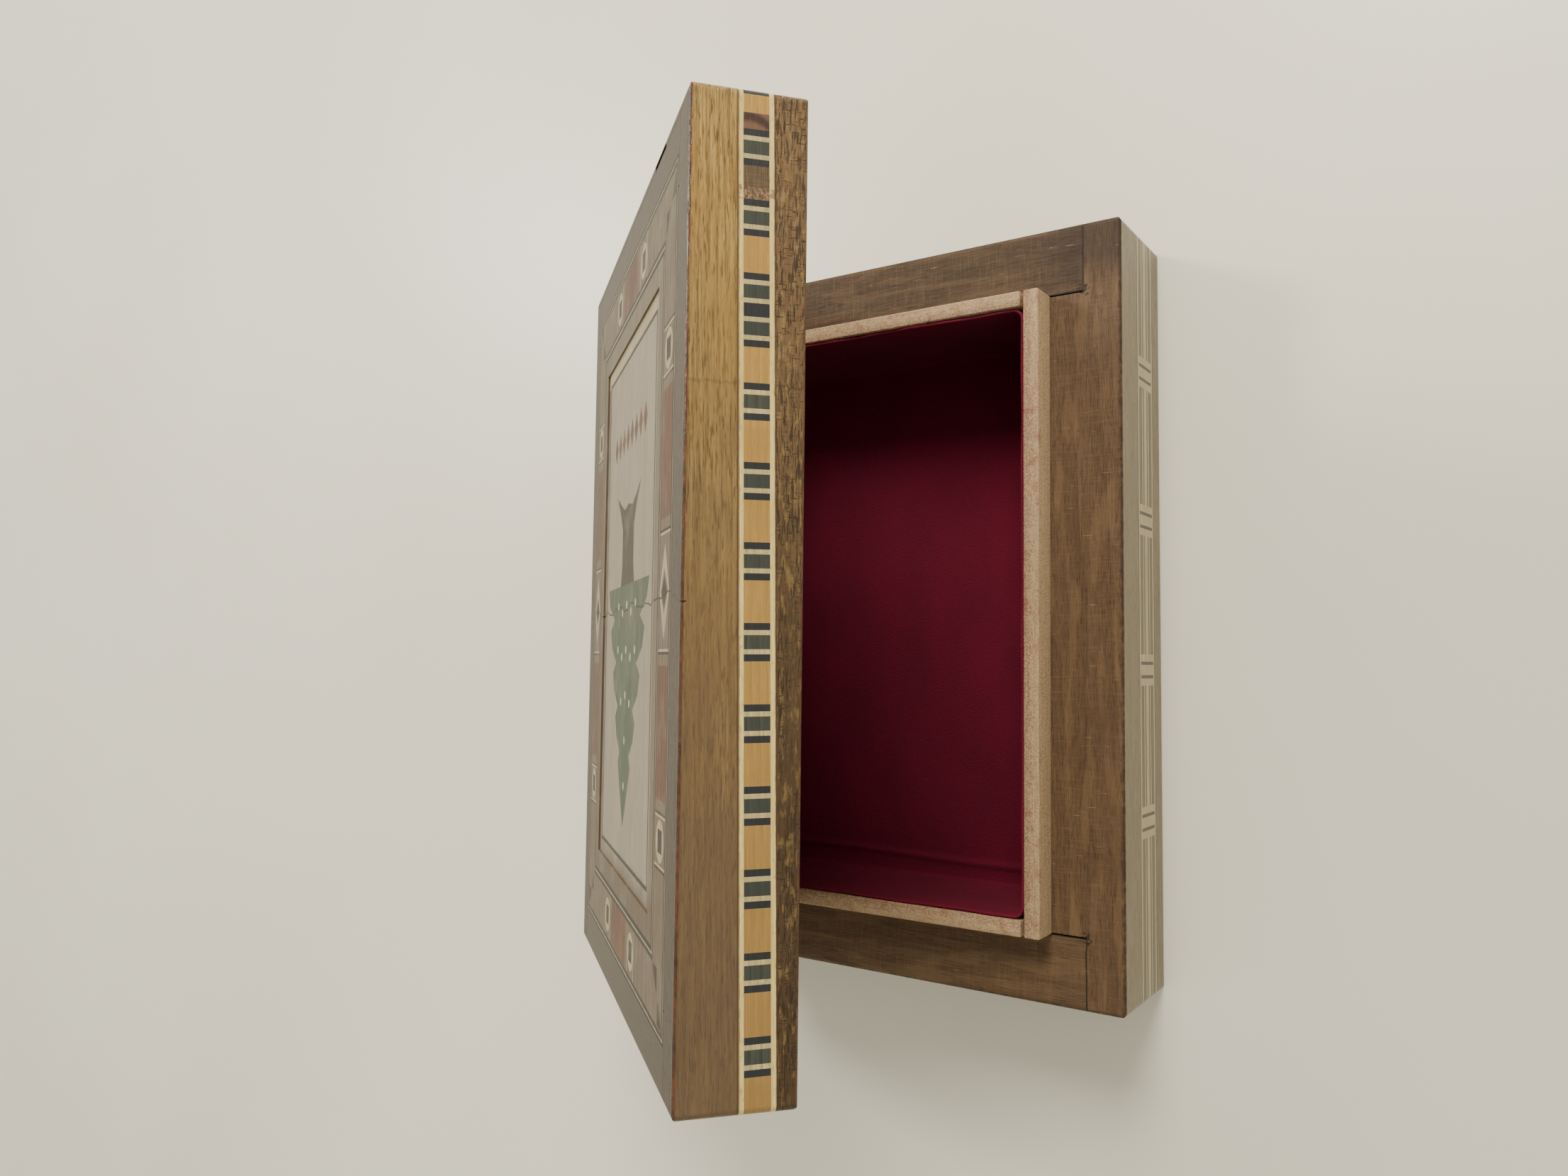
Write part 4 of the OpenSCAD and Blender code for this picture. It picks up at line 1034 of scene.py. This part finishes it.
# %% Table
bpy.ops.object.select_all(action="DESELECT")
bpy.ops.mesh.primitive_plane_add(size=4, location=(0, 0, 0))
table = bpy.context.object
table.name = "table_top"
finish, place = open_finish("painted_table")
cloud = patches(place, 160, 0.3, 0.7, seed=161)
tone = stain(colour("#e6e2d3"), "#dcd7c7", cloud, 0.6)
table.data.materials.append(close_finish(finish, tone, cloud, 0.38, depth=0.02))
table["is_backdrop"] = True

# %% Light
world = bpy.data.worlds.new("room light")
world.use_nodes = True
room = world.node_tree.nodes["Background"]
room.inputs["Color"].default_value = colour("#f1eddd")
room.inputs["Strength"].default_value = 0.86
bpy.context.scene.world = world


def soft_light(name, place, target, size, power, tint):
    """A round area lamp at a place in metres, aimed at another. power is in watts."""
    lamp = bpy.data.lights.new(name, "AREA")
    lamp.shape, lamp.size, lamp.energy = "DISK", size, power
    lamp.color = colour(tint)[:3]
    holder = bpy.data.objects.new(name, lamp)
    bpy.context.scene.collection.objects.link(holder)
    holder.location = place
    holder.rotation_mode = "QUATERNION"
    holder.rotation_quaternion = (Vector(target) - Vector(place)).to_track_quat("-Z", "Y")


soft_light("ceiling lamp", (0.85, -0.20, 0.80), target=(0, 0, 0.03), size=0.55, power=17,
           tint="#fff6e8")
soft_light("far window", (0.55, 1.00, 0.95), target=(0, 0, 0.12), size=0.28, power=11,
           tint="#fffdf4")

# %% Camera
CAMERA_AT = Vector((-0.01468, -0.17107, 0.32705))
SENSOR_MM, FOCAL_MM = 36, 26.0
right = Vector((0.0121, -0.8262, -0.5632)).normalized()
forward = Vector((0.0640, 0.5627, -0.8242))
forward = (forward - right * forward.dot(right)).normalized()
up = right.cross(forward)
lens = bpy.data.cameras.new("camera")
lens.sensor_width, lens.lens = SENSOR_MM, FOCAL_MM
lens.clip_start, lens.clip_end = 0.01, 20
camera = bpy.data.objects.new("camera", lens)
bpy.context.scene.collection.objects.link(camera)
camera.matrix_world = Matrix.Translation(CAMERA_AT) @ Matrix(
    (right, up, -forward)).transposed().to_4x4()
bpy.context.scene.camera = camera

# %% [markdown]
# Last, the size of the box as dressed is printed.

# %% Print the size as dressed
bpy.ops.object.select_all(action="DESELECT")
low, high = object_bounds()
print("box as dressed, mm:", [round((b - a) / MM, 1) for a, b in zip(low, high)])
